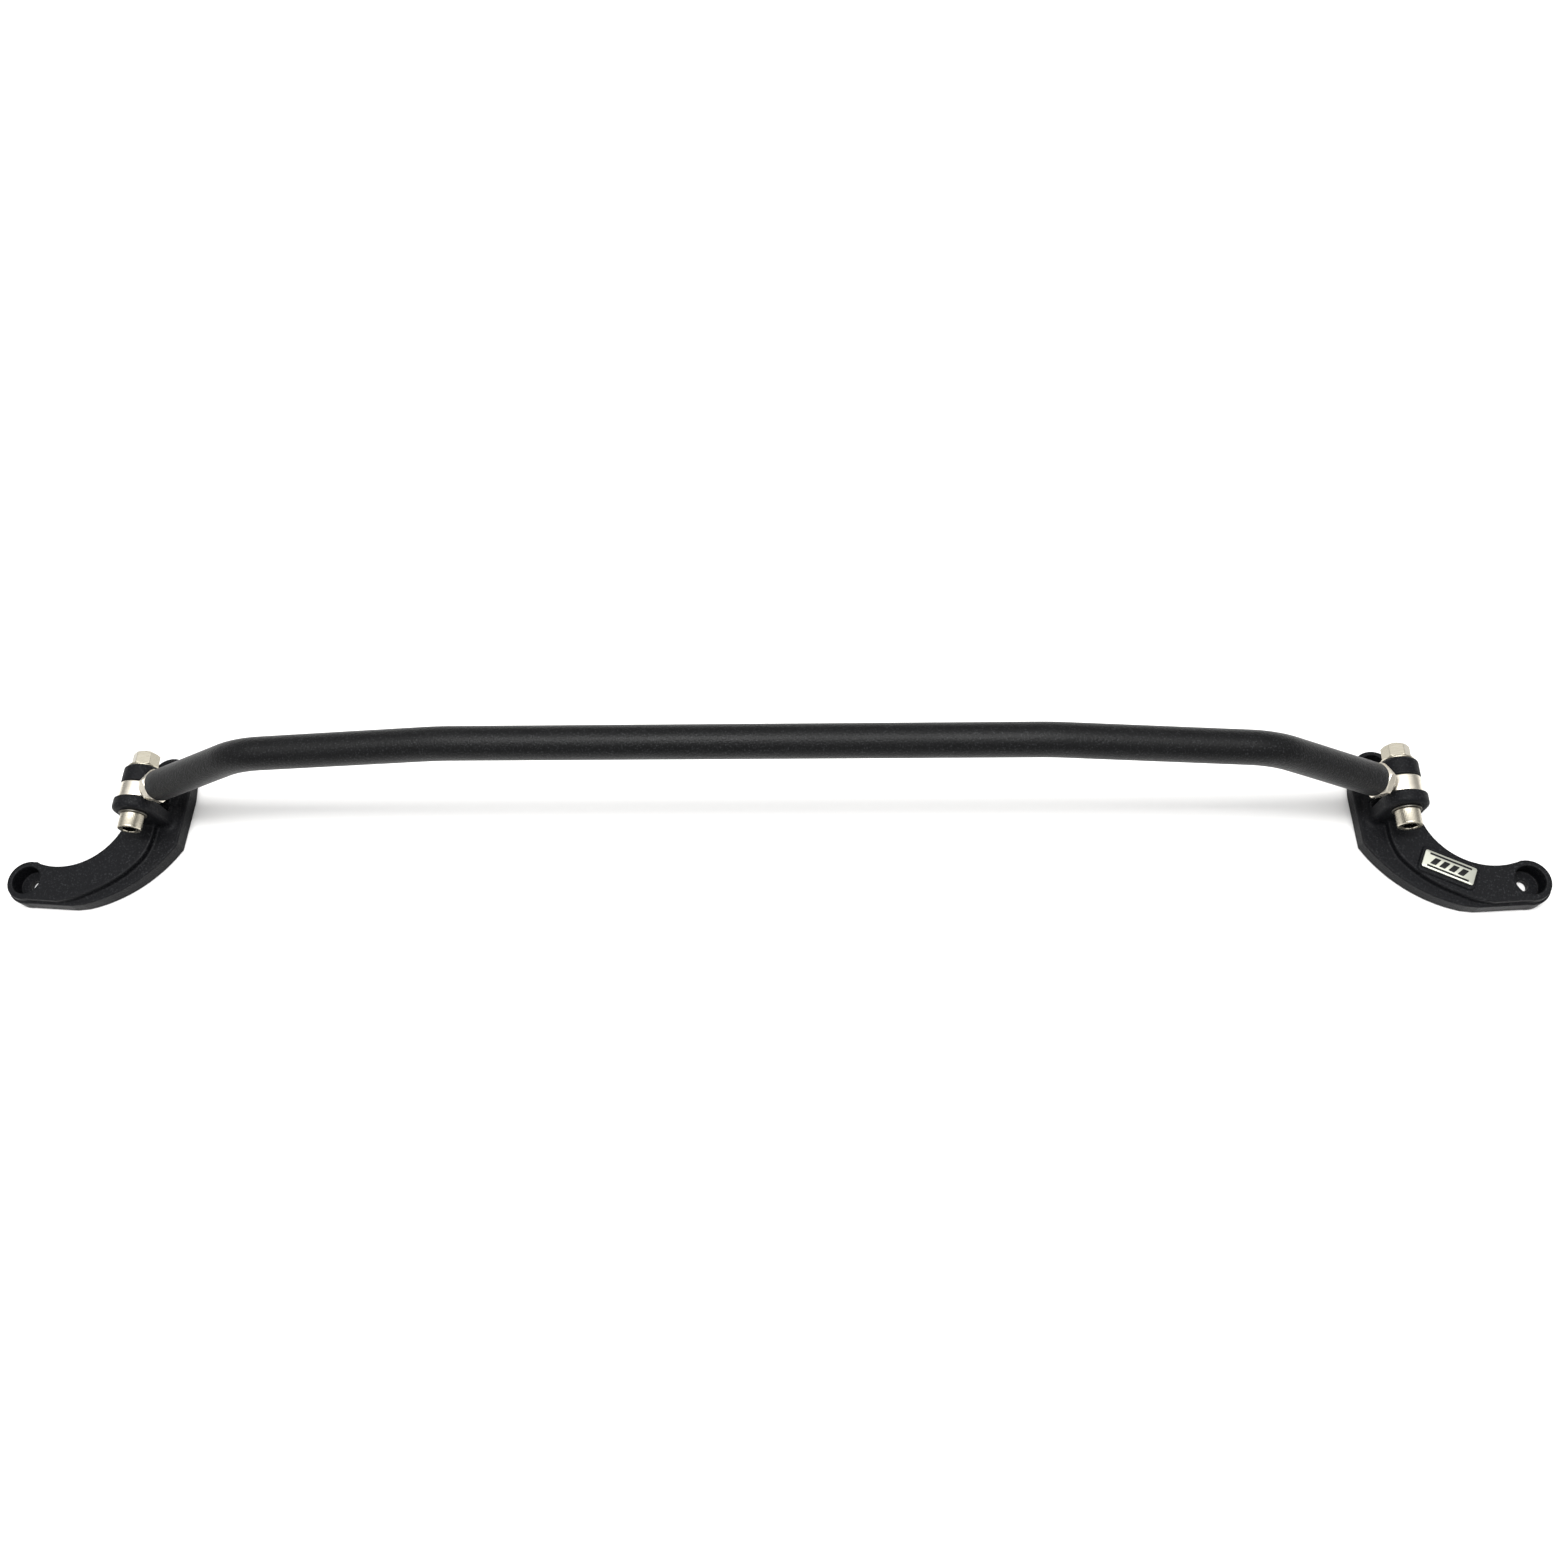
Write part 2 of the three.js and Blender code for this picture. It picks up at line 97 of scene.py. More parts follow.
def gridFaces(rows, columns, closeRows, closeColumns):
    # the four corners of each patch between neighbouring rows and columns
    i = np.arange(rows if closeRows else rows - 1)[:, None]
    j = np.arange(columns if closeColumns else columns - 1)[None, :]
    nextRow = (i + 1) % rows
    nextColumn = (j + 1) % columns
    corners = [i * columns + j, i * columns + nextColumn]
    corners += [nextRow * columns + nextColumn, nextRow * columns + j]
    return np.stack([c + 0 * i + 0 * j for c in corners], axis=-1).reshape(-1, 4)


def poleFaces(ringStart, columns, pole):
    # triangles from each edge of a ring to one middle point
    j = np.arange(columns)
    return np.stack([ringStart + j, ringStart + (j + 1) % columns, np.full(columns, pole)], axis=-1)


def cornerProduct(points, a, b, c):
    # the triple product of the three corners, added up over all the faces
    return np.einsum("ij,ij->", points[a], np.cross(points[b], points[c]))


def shellVolume(points, quads, tris):
    # six times the enclosed volume, positive when the faces look outward
    total = 0.0
    for a, b, c in ((0, 1, 2), (0, 2, 3)):
        total += cornerProduct(points, quads[:, a], quads[:, b], quads[:, c])
    if len(tris):
        total += cornerProduct(points, *tris.T)
    return total


def torusShell(grid):
    # a closed section carried round a closed ring
    rows, columns = grid.shape[:2]
    return grid.reshape(-1, 3), gridFaces(rows, columns, True, True), np.zeros((0, 3), int)


def cappedShell(grid, firstPole, lastPole):
    # rings from one pole to the other
    rows, columns = grid.shape[:2]
    count = rows * columns
    points = np.vstack([grid.reshape(-1, 3), firstPole, lastPole])
    quads = gridFaces(rows, columns, False, True)
    first = poleFaces(0, columns, count)[:, ::-1]
    last = poleFaces(count - columns, columns, count + 1)
    return points, quads, np.vstack([first, last])


def addObject(name, data):
    # puts a mesh, a lamp or a camera into the scene
    made = bpy.data.objects.new(name, data)
    bpy.context.scene.collection.objects.link(made)
    return made


def makePiece(name, shells, place, side, material, body, replaced=None, sharp=ringSharp, inner=None):
    # joins closed shells into one object, mirrors it for the left side and hangs it on its body
    allPoints, allQuads, allTris, start = [], [], [], 0
    for points, quads, tris in shells:
        world = place(points)
        world[:, 0] *= side
        if shellVolume(world, quads, tris) < 0:
            quads, tris = quads[:, ::-1], tris[:, ::-1]
        allPoints.append(world)
        allQuads.append(quads + start)
        allTris.append(tris + start)
        start += len(points)
    points = np.vstack(allPoints).astype(np.float32)
    quads = np.vstack(allQuads)
    tris = np.vstack(allTris)
    corners = np.concatenate([quads.ravel(), tris.ravel()]).astype(np.int32)
    sizes = np.concatenate([np.full(len(quads), 4), np.full(len(tris), 3)])
    starts = np.concatenate([[0], np.cumsum(sizes)[:-1]]).astype(np.int32)
    mesh = bpy.data.meshes.new(name)
    mesh.vertices.add(len(points))
    mesh.vertices.foreach_set("co", points.ravel())
    mesh.loops.add(len(corners))
    mesh.loops.foreach_set("vertex_index", corners)
    mesh.polygons.add(len(sizes))
    mesh.polygons.foreach_set("loop_start", starts)
    mesh.polygons.foreach_set("use_smooth", np.ones(len(sizes), bool))
    mesh.update(calc_edges=True)
    mesh.validate()
    if sharp:
        mesh.set_sharp_from_angle(angle=math.radians(sharp))
    mesh.materials.append(material)
    if inner:
        # faces that touch the first points take a second material: on the bolt, a painted shade at the socket
        # floor
        innerMaterial, innerCount = inner
        mesh.materials.append(innerMaterial)
        touches = np.concatenate([quads.min(axis=1), tris.min(axis=1)]) < innerCount
        mesh.polygons.foreach_set("material_index", touches.astype(np.int32))
    piece = addObject(name, mesh)
    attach(piece, body)
    if replaced:
        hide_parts(replaced)
    triangles = 2 * len(quads) + len(tris)
    print(f"{name}: {triangles} triangles")


def easedProfile(corners, steps=4):
    # rounds each corner of a section: rows of (radius, along, rounding)
    points = []
    count = len(corners)
    for i, (radius, along, rounding) in enumerate(corners):
        here = np.array([radius, along], float)
        before = np.array(corners[i - 1][:2], float) - here
        after = np.array(corners[(i + 1) % count][:2], float) - here
        before /= np.linalg.norm(before)
        after /= np.linalg.norm(after)
        half = math.acos(np.clip(before @ after, -1, 1)) / 2
        reach = rounding / math.tan(half)
        bisector = (before + after) / np.linalg.norm(before + after)
        centre = here + bisector * rounding / math.sin(half)
        start = here + before * reach - centre
        end = here + after * reach - centre
        sweep = math.atan2(start[0] * end[1] - start[1] * end[0], start @ end)
        angles = np.linspace(0, sweep, steps + 1)
        turnX = start[0] * np.cos(angles) - start[1] * np.sin(angles)
        turnY = start[0] * np.sin(angles) + start[1] * np.cos(angles)
        points.extend(np.stack([turnX, turnY], axis=-1) + centre)
    return np.array(points)


def turnedGrid(radius, along, angles):
    # radius and along may change with the row and with the angle; the angle runs from z towards x
    radius, along, angles = np.broadcast_arrays(radius, along, angles[None, :])
    return np.stack([radius * np.sin(angles), along, radius * np.cos(angles)], axis=-1)


def ringShell(size):
    # a section with eased corners turned round the axis
    section = easedProfile([
        (size["outer"], size["from"], size["rim"]), (size["outer"], size["to"], size["rim"]),
        (size["inner"], size["to"], size["rim"]), (size["inner"], size["from"], size["rim"]),
    ])
    angles = np.linspace(0, tau, size["columns"], endpoint=False)
    return torusShell(turnedGrid(section[:, :1], section[:, 1:], angles))


def hexAngles(perSide, turn):
    # angles crowded towards the six corners, which stand at turn plus multiples of sixty degrees
    t = np.linspace(-1, 1, perSide, endpoint=False)
    spread = math.pi / 6 * (1.5 * t - 0.5 * t ** 3)
    centres = turn + math.pi / 6 + np.arange(6) * math.pi / 3
    return (centres[:, None] + spread[None, :]).ravel()


def hexRadius(angles, halfFlats, turn, softness):
    # six flats joined at slightly rounded corners: a high power sum of the six flat distances
    centres = turn + math.pi / 6 + np.arange(6) * math.pi / 3
    share = np.maximum(np.cos(angles[:, None] - centres[None, :]), 0)
    return halfFlats / (share ** softness).sum(axis=1) ** (1 / softness)


def segmentDistance(x, y, loop):
    # distance to a closed outline, negative inside, by whole arrays of points and one edge at a time
    best = np.full(x.shape, np.inf)
    inside = np.zeros(x.shape, bool)
    following = np.roll(loop, -1, axis=0)
    for (ax, ay), (bx, by) in zip(loop, following):
        ex, ey = bx - ax, by - ay
        t = np.clip(((x - ax) * ex + (y - ay) * ey) / (ex * ex + ey * ey + tiny), 0, 1)
        best = np.minimum(best, (x - ax - t * ex) ** 2 + (y - ay - t * ey) ** 2)
        crosses = (ay > y) != (by > y)
        with np.errstate(divide="ignore", invalid="ignore"):
            at = ax + (y - ay) * ex / ey
        inside ^= crosses & (x < at)
    best = np.sqrt(best)
    return np.where(inside, -best, best)


def joined(a, b, blend):
    # union of two distances with a rounded inside corner
    h = np.maximum(blend - np.abs(a - b), 0)
    return np.minimum(a, b) - h * h / (4 * np.maximum(blend, leastBlend))


def cut(a, b, blend):
    # what is left of a outside b, with a rounded rim
    return -joined(-a, b, blend)


def cornerDistance(a, b):
    # inside: the nearer of two faces; outside: the straight way to the corner between them
    return np.minimum(np.maximum(a, b), 0) + np.hypot(np.maximum(a, 0), np.maximum(b, 0))


def slab(distance, height, low, high, rounding):
    # an outline distance carried from low to high with rounded rims
    across = distance + rounding
    over = np.abs(height - (low + high) / 2) - (high - low) / 2 + rounding
    return cornerDistance(across, over) - rounding


def fieldSurface(field, lowest, highest, cell):
    # one point in each grid cell that the surface crosses, at the mean of its edge crossings, then drawn
    # onto the surface along the slope of the distance; neighbouring cells are joined by four-sided faces
    lowest = np.array(lowest, float)
    counts = np.ceil((np.array(highest) - lowest) / cell).astype(int) + 1
    axes = [lowest[a] + cell * np.arange(counts[a]) for a in range(3)]
    x, y, z = (axes[0][:, None, None], axes[1][None, :, None], axes[2][None, None, :])
    values = field(x, y, z).astype(np.float32)
    inside = values < 0
    nx, ny, nz = (n - 1 for n in inside.shape)
    offsets = [(i, j, k) for i in (0, 1) for j in (0, 1) for k in (0, 1)]
    tally = sum(inside[i:i + nx, j:j + ny, k:k + nz].astype(np.uint8) for i, j, k in offsets)
    cells = np.argwhere((tally > 0) & (tally < 8))
    corner = {o: values[tuple((cells + o).T)] for o in offsets}
    total = np.zeros((len(cells), 3))
    crossings = np.zeros(len(cells))
    for o in offsets:
        for axis in range(3):
            if o[axis]:
                continue
            end = tuple(o[a] + (a == axis) for a in range(3))
            a, b = corner[o], corner[end]
            hit = (a < 0) != (b < 0)
            share = np.where(hit, a / np.where(hit, a - b, 1), 0)
            place = np.repeat(np.array([o], float), len(cells), axis=0)
            place[:, axis] += share
            total += place * hit[:, None]
            crossings += hit
    points = lowest + cell * (cells + total / crossings[:, None])
    small = cell / 4
    draws, leastSlope = 3, 0.25
    for _ in range(draws):
        px, py, pz = points.T
        here = field(px, py, pz)
        slope = np.stack([
            field(px + small, py, pz) - here,
            field(px, py + small, pz) - here,
            field(px, py, pz + small) - here,
        ], axis=-1) / small
        move = slope * (here / np.maximum((slope ** 2).sum(axis=1), leastSlope))[:, None]
        points -= np.clip(move, -cell / 2, cell / 2)
    number = np.full((nx, ny, nz), -1, np.int32)
    number[tuple(cells.T)] = np.arange(len(cells))
    quads = []
    for axis in range(3):
        others = [a for a in range(3) if a != axis]
        along = np.diff(inside.astype(np.int8), axis=axis)
        edges = np.argwhere(along != 0)
        keep = (edges[:, others[0]] > 0) & (edges[:, others[1]] > 0)
        for a in others:
            keep &= edges[:, a] < number.shape[a]
        edges = edges[keep]
        rising = along[tuple(edges.T)] > 0
        ring = []
        for da, db in ((1, 1), (0, 1), (0, 0), (1, 0)):
            at = edges.copy()
            at[:, others[0]] -= da
            at[:, others[1]] -= db
            ring.append(number[tuple(at.T)])
        faces = np.stack(ring, axis=-1)
        if axis == 1:
            faces = faces[:, ::-1]
        faces[rising] = faces[rising][:, ::-1]
        quads.append(faces)
    return points, np.vstack(quads), np.zeros((0, 3), int)


def addNode(tree, kind, **settings):
    # a new node with its plain settings
    made = tree.nodes.new(kind)
    for key, value in settings.items():
        setattr(made, key, value)
    return made


def setInput(tree, socket, value):
    # a socket is linked, anything else is set as the value
    if isinstance(value, bpy.types.NodeSocket):
        tree.links.new(value, socket)
    else:
        socket.default_value = value


def noiseValue(tree, vector, scale, detail=2.0, roughness=0.5):
    # the grey value of a noise; its scale may come from a socket
    made = addNode(tree, "ShaderNodeTexNoise")
    setInput(tree, made.inputs["Vector"], vector)
    setInput(tree, made.inputs["Scale"], scale)
    made.inputs["Detail"].default_value = detail
    made.inputs["Roughness"].default_value = roughness
    return made.outputs[0]


def mathValue(tree, operation, a, b=0.0, c=0.0):
    # one step of arithmetic
    made = addNode(tree, "ShaderNodeMath", operation=operation)
    for socket, value in zip(made.inputs, (a, b, c)):
        setInput(tree, socket, value)
    return made.outputs[0]


def ranged(tree, value, low, high, newLow=0.0, newHigh=1.0):
    # carries low to high onto newLow to newHigh and stops at both
    made = addNode(tree, "ShaderNodeMapRange")
    names = ("Value", "From Min", "From Max", "To Min", "To Max")
    for name, setting in zip(names, (value, low, high, newLow, newHigh)):
        setInput(tree, made.inputs[name], setting)
    return made.outputs[0]


def mixedColour(tree, factor, a, b):
    # colour a turned into b by the factor
    made = addNode(tree, "ShaderNodeMix", data_type="RGBA")
    for index, value in ((0, factor), (6, a), (7, b)):
        setInput(tree, made.inputs[index], value)
    return made.outputs[2]


def objectPlace(tree, stretch=(1, 1, 1)):
    # the object's own coordinates, stretched along its axes
    place = addNode(tree, "ShaderNodeTexCoord").outputs["Object"]
    mapping = addNode(tree, "ShaderNodeMapping")
    tree.links.new(place, mapping.inputs["Vector"])
    mapping.inputs["Scale"].default_value = stretch
    return mapping.outputs[0]


def newGroup(name, inputs, outputs):
    # a node group with number sockets on both sides
    tree = bpy.data.node_groups.new(name, "ShaderNodeTree")
    for direction, labels in (("INPUT", inputs), ("OUTPUT", outputs)):
        for label in labels:
            tree.interface.new_socket(name=label, in_out=direction, socket_type="NodeSocketFloat")
    return tree, tree.nodes.new("NodeGroupInput").outputs, tree.nodes.new("NodeGroupOutput")


powderScales = {"Grain Scale": 620.0, "Wrinkle Scale": 1150.0, "Fleck Scale": 880.0, "Cloud Scale": 17.0}
wearScales = {"Break Up Scale": 140.0}
metalScales = {"Mark Scale": 2600.0, "Dent Scale": 520.0, "Tarnish Scale": 95.0}
powderShape = {
    "smoothness": 0.6, "grainShare": 0.55, "wrinkleShare": 0.6,
    "Fleck": (0.58, 0.72), "Cloud": (0.3, 0.7),
}
wearShape = {"Rubbed": (0.515, 0.60), "Crease": (0.485, 0.42)}
metalShape = {"markStretch": (0.06, 1.0, 0.06), "tarnishBand": (0.35, 0.7)}
roughNoise = {"detail": 3.0, "roughness": 0.6}


def powderGrainGroup():
    # fine wrinkle of a powder coat: small rounded grains over a finer noise, with slow clouds between
    tree, enter, leave = newGroup("powderGrain", powderScales, ["Height", "Fleck", "Cloud"])
    place = objectPlace(tree)
    cells = addNode(tree, "ShaderNodeTexVoronoi", feature="SMOOTH_F1")
    tree.links.new(place, cells.inputs["Vector"])
    tree.links.new(enter["Grain Scale"], cells.inputs["Scale"])
    cells.inputs["Smoothness"].default_value = powderShape["smoothness"]
    grains = mathValue(tree, "SUBTRACT", 1.0, cells.outputs["Distance"])
    fine = noiseValue(tree, place, enter["Wrinkle Scale"], **roughNoise)
    wrinkles = mathValue(tree, "MULTIPLY", fine, powderShape["wrinkleShare"])
    height = mathValue(tree, "MULTIPLY_ADD", grains, powderShape["grainShare"], wrinkles)
    tree.links.new(height, leave.inputs["Height"])
    for label, detail in (("Fleck", 1.0), ("Cloud", 2.0)):
        spots = noiseValue(tree, place, enter[label + " Scale"], detail)
        tree.links.new(ranged(tree, spots, *powderShape[label]), leave.inputs[label])
    return tree


def edgeWearGroup():
    # rims rubbed thin and creases that keep dust, both broken up by noise
    tree, enter, leave = newGroup("edgeWear", wearScales, ["Rubbed", "Crease"])
    bend = addNode(tree, "ShaderNodeNewGeometry").outputs["Pointiness"]
    breakUp = noiseValue(tree, objectPlace(tree), enter["Break Up Scale"], **roughNoise)
    for label, band in wearShape.items():
        share = ranged(tree, bend, *band)
        tree.links.new(mathValue(tree, "MULTIPLY", share, breakUp), leave.inputs[label])
    return tree


def metalGrainGroup():
    # turning marks across the bolt axis, small dents and slow tarnish
    tree, enter, leave = newGroup("metalGrain", metalScales, ["Marks", "Dents", "Tarnish"])
    marks = noiseValue(tree, objectPlace(tree, metalShape["markStretch"]), enter["Mark Scale"], 2.0, 0.6)
    tree.links.new(marks, leave.inputs["Marks"])
    place = objectPlace(tree)
    tree.links.new(noiseValue(tree, place, enter["Dent Scale"], 4.0, 0.6), leave.inputs["Dents"])
    spots = noiseValue(tree, place, enter["Tarnish Scale"], **roughNoise)
    tree.links.new(ranged(tree, spots, *metalShape["tarnishBand"]), leave.inputs["Tarnish"])
    return tree


powderGrain = powderGrainGroup()
edgeWear = edgeWearGroup()
metalGrain = metalGrainGroup()


def newMaterial(name):
    # an empty material with one shader
    material = bpy.data.materials.new(name)
    material.use_nodes = True
    tree = material.node_tree
    tree.nodes.clear()
    shader = addNode(tree, "ShaderNodeBsdfPrincipled")
    leave = addNode(tree, "ShaderNodeOutputMaterial")
    tree.links.new(shader.outputs[0], leave.inputs[0])
    return material, tree, shader


def useGroup(tree, group, settings):
    # places a group with this material's own values and gives back its outputs
    made = addNode(tree, "ShaderNodeGroup", node_tree=group)
    for label, value in settings.items():
        made.inputs[label].default_value = value
    return made.outputs


def addBump(tree, shader, height, strength, distance):
    # turns a height into a normal; the distance is in metres
    bump = addNode(tree, "ShaderNodeBump")
    bump.inputs["Strength"].default_value = strength
    bump.inputs["Distance"].default_value = distance
    tree.links.new(height, bump.inputs["Height"])
    tree.links.new(bump.outputs[0], shader.inputs["Normal"])


def powderMaterial(name, look):
    # satin wrinkle powder coat
    material, tree, shader = newMaterial(name)
    grain = useGroup(tree, powderGrain, look["grain"])
    wear = useGroup(tree, edgeWear, look["wear"])
    colour = look["colour"]
    masks = (grain["Fleck"], grain["Cloud"], wear["Rubbed"], wear["Crease"])
    for layer, mask in zip(("fleck", "cloud", "rubbed", "dust"), masks):
        share = mathValue(tree, "MULTIPLY", mask, look[layer + "Share"])
        colour = mixedColour(tree, share, colour, look[layer + "Colour"])
    tree.links.new(colour, shader.inputs["Base Color"])
    rough = ranged(tree, grain["Cloud"], 0.0, 1.0, look["roughLow"], look["roughHigh"])
    smoother = mathValue(tree, "MULTIPLY_ADD", wear["Rubbed"], look["rubbedRough"], rough)
    tree.links.new(smoother, shader.inputs["Roughness"])
    shader.inputs["Specular IOR Level"].default_value = look["gloss"]
    addBump(tree, shader, grain["Height"], look["bump"], look["bumpDepth"])
    return material


def metalMaterial(name, look):
    # bright plated or turned metal
    material, tree, shader = newMaterial(name)
    grain = useGroup(tree, metalGrain, look["grain"])
    tarnish = mathValue(tree, "MULTIPLY", grain["Tarnish"], look["tarnish"])
    tinted = mixedColour(tree, tarnish, look["colour"], look["tarnishColour"])
    tree.links.new(tinted, shader.inputs["Base Color"])
    shader.inputs["Metallic"].default_value = 1.0
    rough = ranged(tree, grain["Marks"], *look["markBand"], look["roughLow"], look["roughHigh"])
    spotted = mathValue(tree, "MULTIPLY_ADD", tarnish, look["tarnishRough"], rough)
    tree.links.new(spotted, shader.inputs["Roughness"])
    dents = mathValue(tree, "MULTIPLY", grain["Dents"], look["dents"])
    height = mathValue(tree, "MULTIPLY_ADD", grain["Marks"], look["marks"], dents)
    addBump(tree, shader, height, look["bump"], look["bumpDepth"])
    return material


tubeFinish = {
    "colour": (0.0022, 0.0023, 0.0026, 1), "fleckColour": (0.045, 0.047, 0.050, 1), "fleckShare": 0.45,
    "cloudColour": (0.0040, 0.0042, 0.0046, 1), "rubbedColour": (0.04, 0.04, 0.04, 1), "rubbedShare": 0.5,
    "cloudShare": 0.35,
    "dustColour": (0.02, 0.02, 0.02, 1), "dustShare": 0.3,
    "roughLow": 0.38, "roughHigh": 0.46, "rubbedRough": -0.12, "gloss": 0.17, "bump": 0.9,
    "bumpDepth": 0.00035, "grain": powderScales, "wear": wearScales,
}
bracketFinish = dict(
    tubeFinish, colour=(0.0035, 0.0037, 0.0046, 1), cloudColour=(0.0050, 0.0054, 0.0070, 1),
    roughLow=0.46, roughHigh=0.56, gloss=0.11, bump=0.9, fleckShare=0.45,
)
silverFinish = {
    "colour": (0.52, 0.485, 0.40, 1), "tarnish": 0.35, "tarnishColour": (0.34, 0.305, 0.24, 1),
    "roughLow": 0.20, "roughHigh": 0.32, "marks": 0.5, "dents": 0.5, "markBand": (0.3, 0.7),
    "tarnishRough": 0.2, "bump": 0.12, "bumpDepth": 0.00008, "grain": metalScales,
}
nutFinish = dict(silverFinish, colour=(0.37, 0.345, 0.285, 1), tarnishColour=(0.25, 0.23, 0.18, 1))
brightFinish = dict(silverFinish, colour=(0.78, 0.73, 0.63, 1), roughLow=0.22, roughHigh=0.34)
darkMetalFinish = dict(silverFinish, colour=(0.10, 0.098, 0.09, 1), roughLow=0.3, roughHigh=0.42)
# painted shade: near-black metal for the socket floor, in place of the shade deep in the bolt's socket
socketPaintedShade = dict(silverFinish, colour=(0.035, 0.032, 0.028, 1), tarnishColour=(0.02, 0.018, 0.015, 1))
bronzeFinish = dict(silverFinish, colour=(0.55, 0.38, 0.18, 1), tarnishColour=(0.30, 0.20, 0.10, 1))
badgeFinish = dict(silverFinish, colour=(0.46, 0.47, 0.41, 1), roughLow=0.34, roughHigh=0.46, tarnish=0.15)
enamelFinish = dict(
    tubeFinish, colour=(0.005, 0.005, 0.006, 1), fleckShare=0.05, bump=0.1, roughLow=0.3, roughHigh=0.36,
)

tubeCoat = powderMaterial("tubeCoat", tubeFinish)
bracketCoat = powderMaterial("bracketCoat", bracketFinish)
boltMetal = metalMaterial("boltMetal", silverFinish)
nutMetal = metalMaterial("nutMetal", nutFinish)
eyeMetal = metalMaterial("eyeMetal", brightFinish)
jamNutPlate = metalMaterial("jamNutPlate", brightFinish)
bungSteel = metalMaterial("bungSteel", darkMetalFinish)
socketShade = metalMaterial("socketShade", socketPaintedShade)
headWasherMetal = metalMaterial("headWasherMetal", darkMetalFinish)
nutWasherMetal = metalMaterial("nutWasherMetal", silverFinish)
bushBronze = metalMaterial("bushBronze", bronzeFinish)
badgeMetal = metalMaterial("badgeMetal", badgeFinish)
badgeEnamel = powderMaterial("badgeEnamel", enamelFinish)
print("materials made")

tube = {
    "radius": 12.7, "wall": 2.0, "rim": 0.5, "innerRim": 0.4,
    "centreHeight": 140.0, "shoulderHeight": 122.0, "centreHalf": 220.5, "shoulderHalf": 378.0,
    "centreBend": 190.0, "shoulderBend": 75.0, "endFromPivot": 31.9,
    "columns": 96, "straightStep": 9.0, "bendStep": 1.6, "lipSteps": 5,
}


def bentPath(corners, radii):
    # straights joined by arcs tangent to both, with the direction of travel at each station
    stations, directions = [], []
    here = np.array(corners[0], float)
    for i in range(1, len(corners)):
        corner = np.array(corners[i], float)
        into = (corner - here) / np.linalg.norm(corner - here)
        if i < len(corners) - 1:
            out = np.array(corners[i + 1], float) - corner
            out /= np.linalg.norm(out)
            turn = math.acos(np.clip(into @ out, -1, 1))
            reach = radii[i] * math.tan(turn / 2)
            end = corner - into * reach
        else:
            end = corner
        steps = max(int(np.linalg.norm(end - here) / tube["straightStep"]), 2)
        share = np.linspace(0, 1, steps, endpoint=False)[:, None]
        stations.append(here + share * (end - here))
        directions.append(np.repeat(into[None], steps, axis=0))
        if i < len(corners) - 1:
            side = out - into * (into @ out)
            side /= np.linalg.norm(side)
            steps = max(int(radii[i] * turn / tube["bendStep"]), 4)
            angle = np.linspace(0, turn, steps, endpoint=False)[:, None]
            stations.append(end + radii[i] * (into * np.sin(angle) + side * (1 - np.cos(angle))))
            directions.append(into * np.cos(angle) + side * np.sin(angle))
            here = corner + out * reach
    stations.append(np.array([corners[-1]], float))
    directions.append(into[None])
    return np.vstack(stations), np.vstack(directions)


def barTube():
    # a round wall section carried along the bent line: out along the outer skin, round the rim, back inside
    end = pivotPoint / mm + tubeLine * tube["endFromPivot"]
    plane = pivotPoint[1] / mm
    corners = [
        (-end[0], plane, end[2]), (-tube["shoulderHalf"], plane, tube["shoulderHeight"]),
        (-tube["centreHalf"], plane, tube["centreHeight"]), (tube["centreHalf"], plane, tube["centreHeight"]),
        (tube["shoulderHalf"], plane, tube["shoulderHeight"]), (end[0], plane, end[2]),
    ]
    radii = [0, tube["shoulderBend"], tube["centreBend"], tube["centreBend"], tube["shoulderBend"], 0]
    stations, directions = bentPath(corners, radii)
    outer, inner = tube["radius"], tube["radius"] - tube["wall"]
    quarter = np.linspace(0, math.pi / 2, tube["lipSteps"])
    rim, innerRim = tube["rim"], tube["innerRim"]
    outerLip = np.stack([outer - rim + rim * np.cos(quarter), rim * (1 - np.sin(quarter))], axis=-1)
    innerRadius = inner + innerRim * (1 - np.sin(quarter))
    innerLip = np.stack([innerRadius, innerRim * (1 - np.cos(quarter))], axis=-1)
    lip = np.vstack([outerLip, innerLip])
    body = np.arange(1, len(stations) - 1)
    order = [np.zeros(len(lip), int), body, np.full(len(lip), len(stations) - 1), body[::-1]]
    radius = [lip[::-1, 0], np.full(len(body), outer), lip[:, 0], np.full(len(body), inner)]
    inset = [lip[::-1, 1], np.zeros(len(body)), -lip[:, 1], np.zeros(len(body))]
    index = np.concatenate(order)
    radius = np.concatenate(radius)[:, None]
    inset = np.concatenate(inset)[:, None]
    travel = directions[index]
    centre = stations[index] + travel * inset
    up = np.stack([-travel[:, 2], np.zeros(len(index)), travel[:, 0]], axis=-1)
    angles = np.linspace(0, tau, tube["columns"], endpoint=False)
    ringUp = up[:, None, :] * np.cos(angles)[None, :, None]
    ringAcross = crossLine[None, None, :] * np.sin(angles)[None, :, None]
    grid = centre[:, None, :] + radius[:, :, None] * (ringUp + ringAcross)
    makePiece("barTube", [torusShell(grid)], asBuilt, 1.0, tubeCoat, "bar", "bar_tube", None)


barTube()

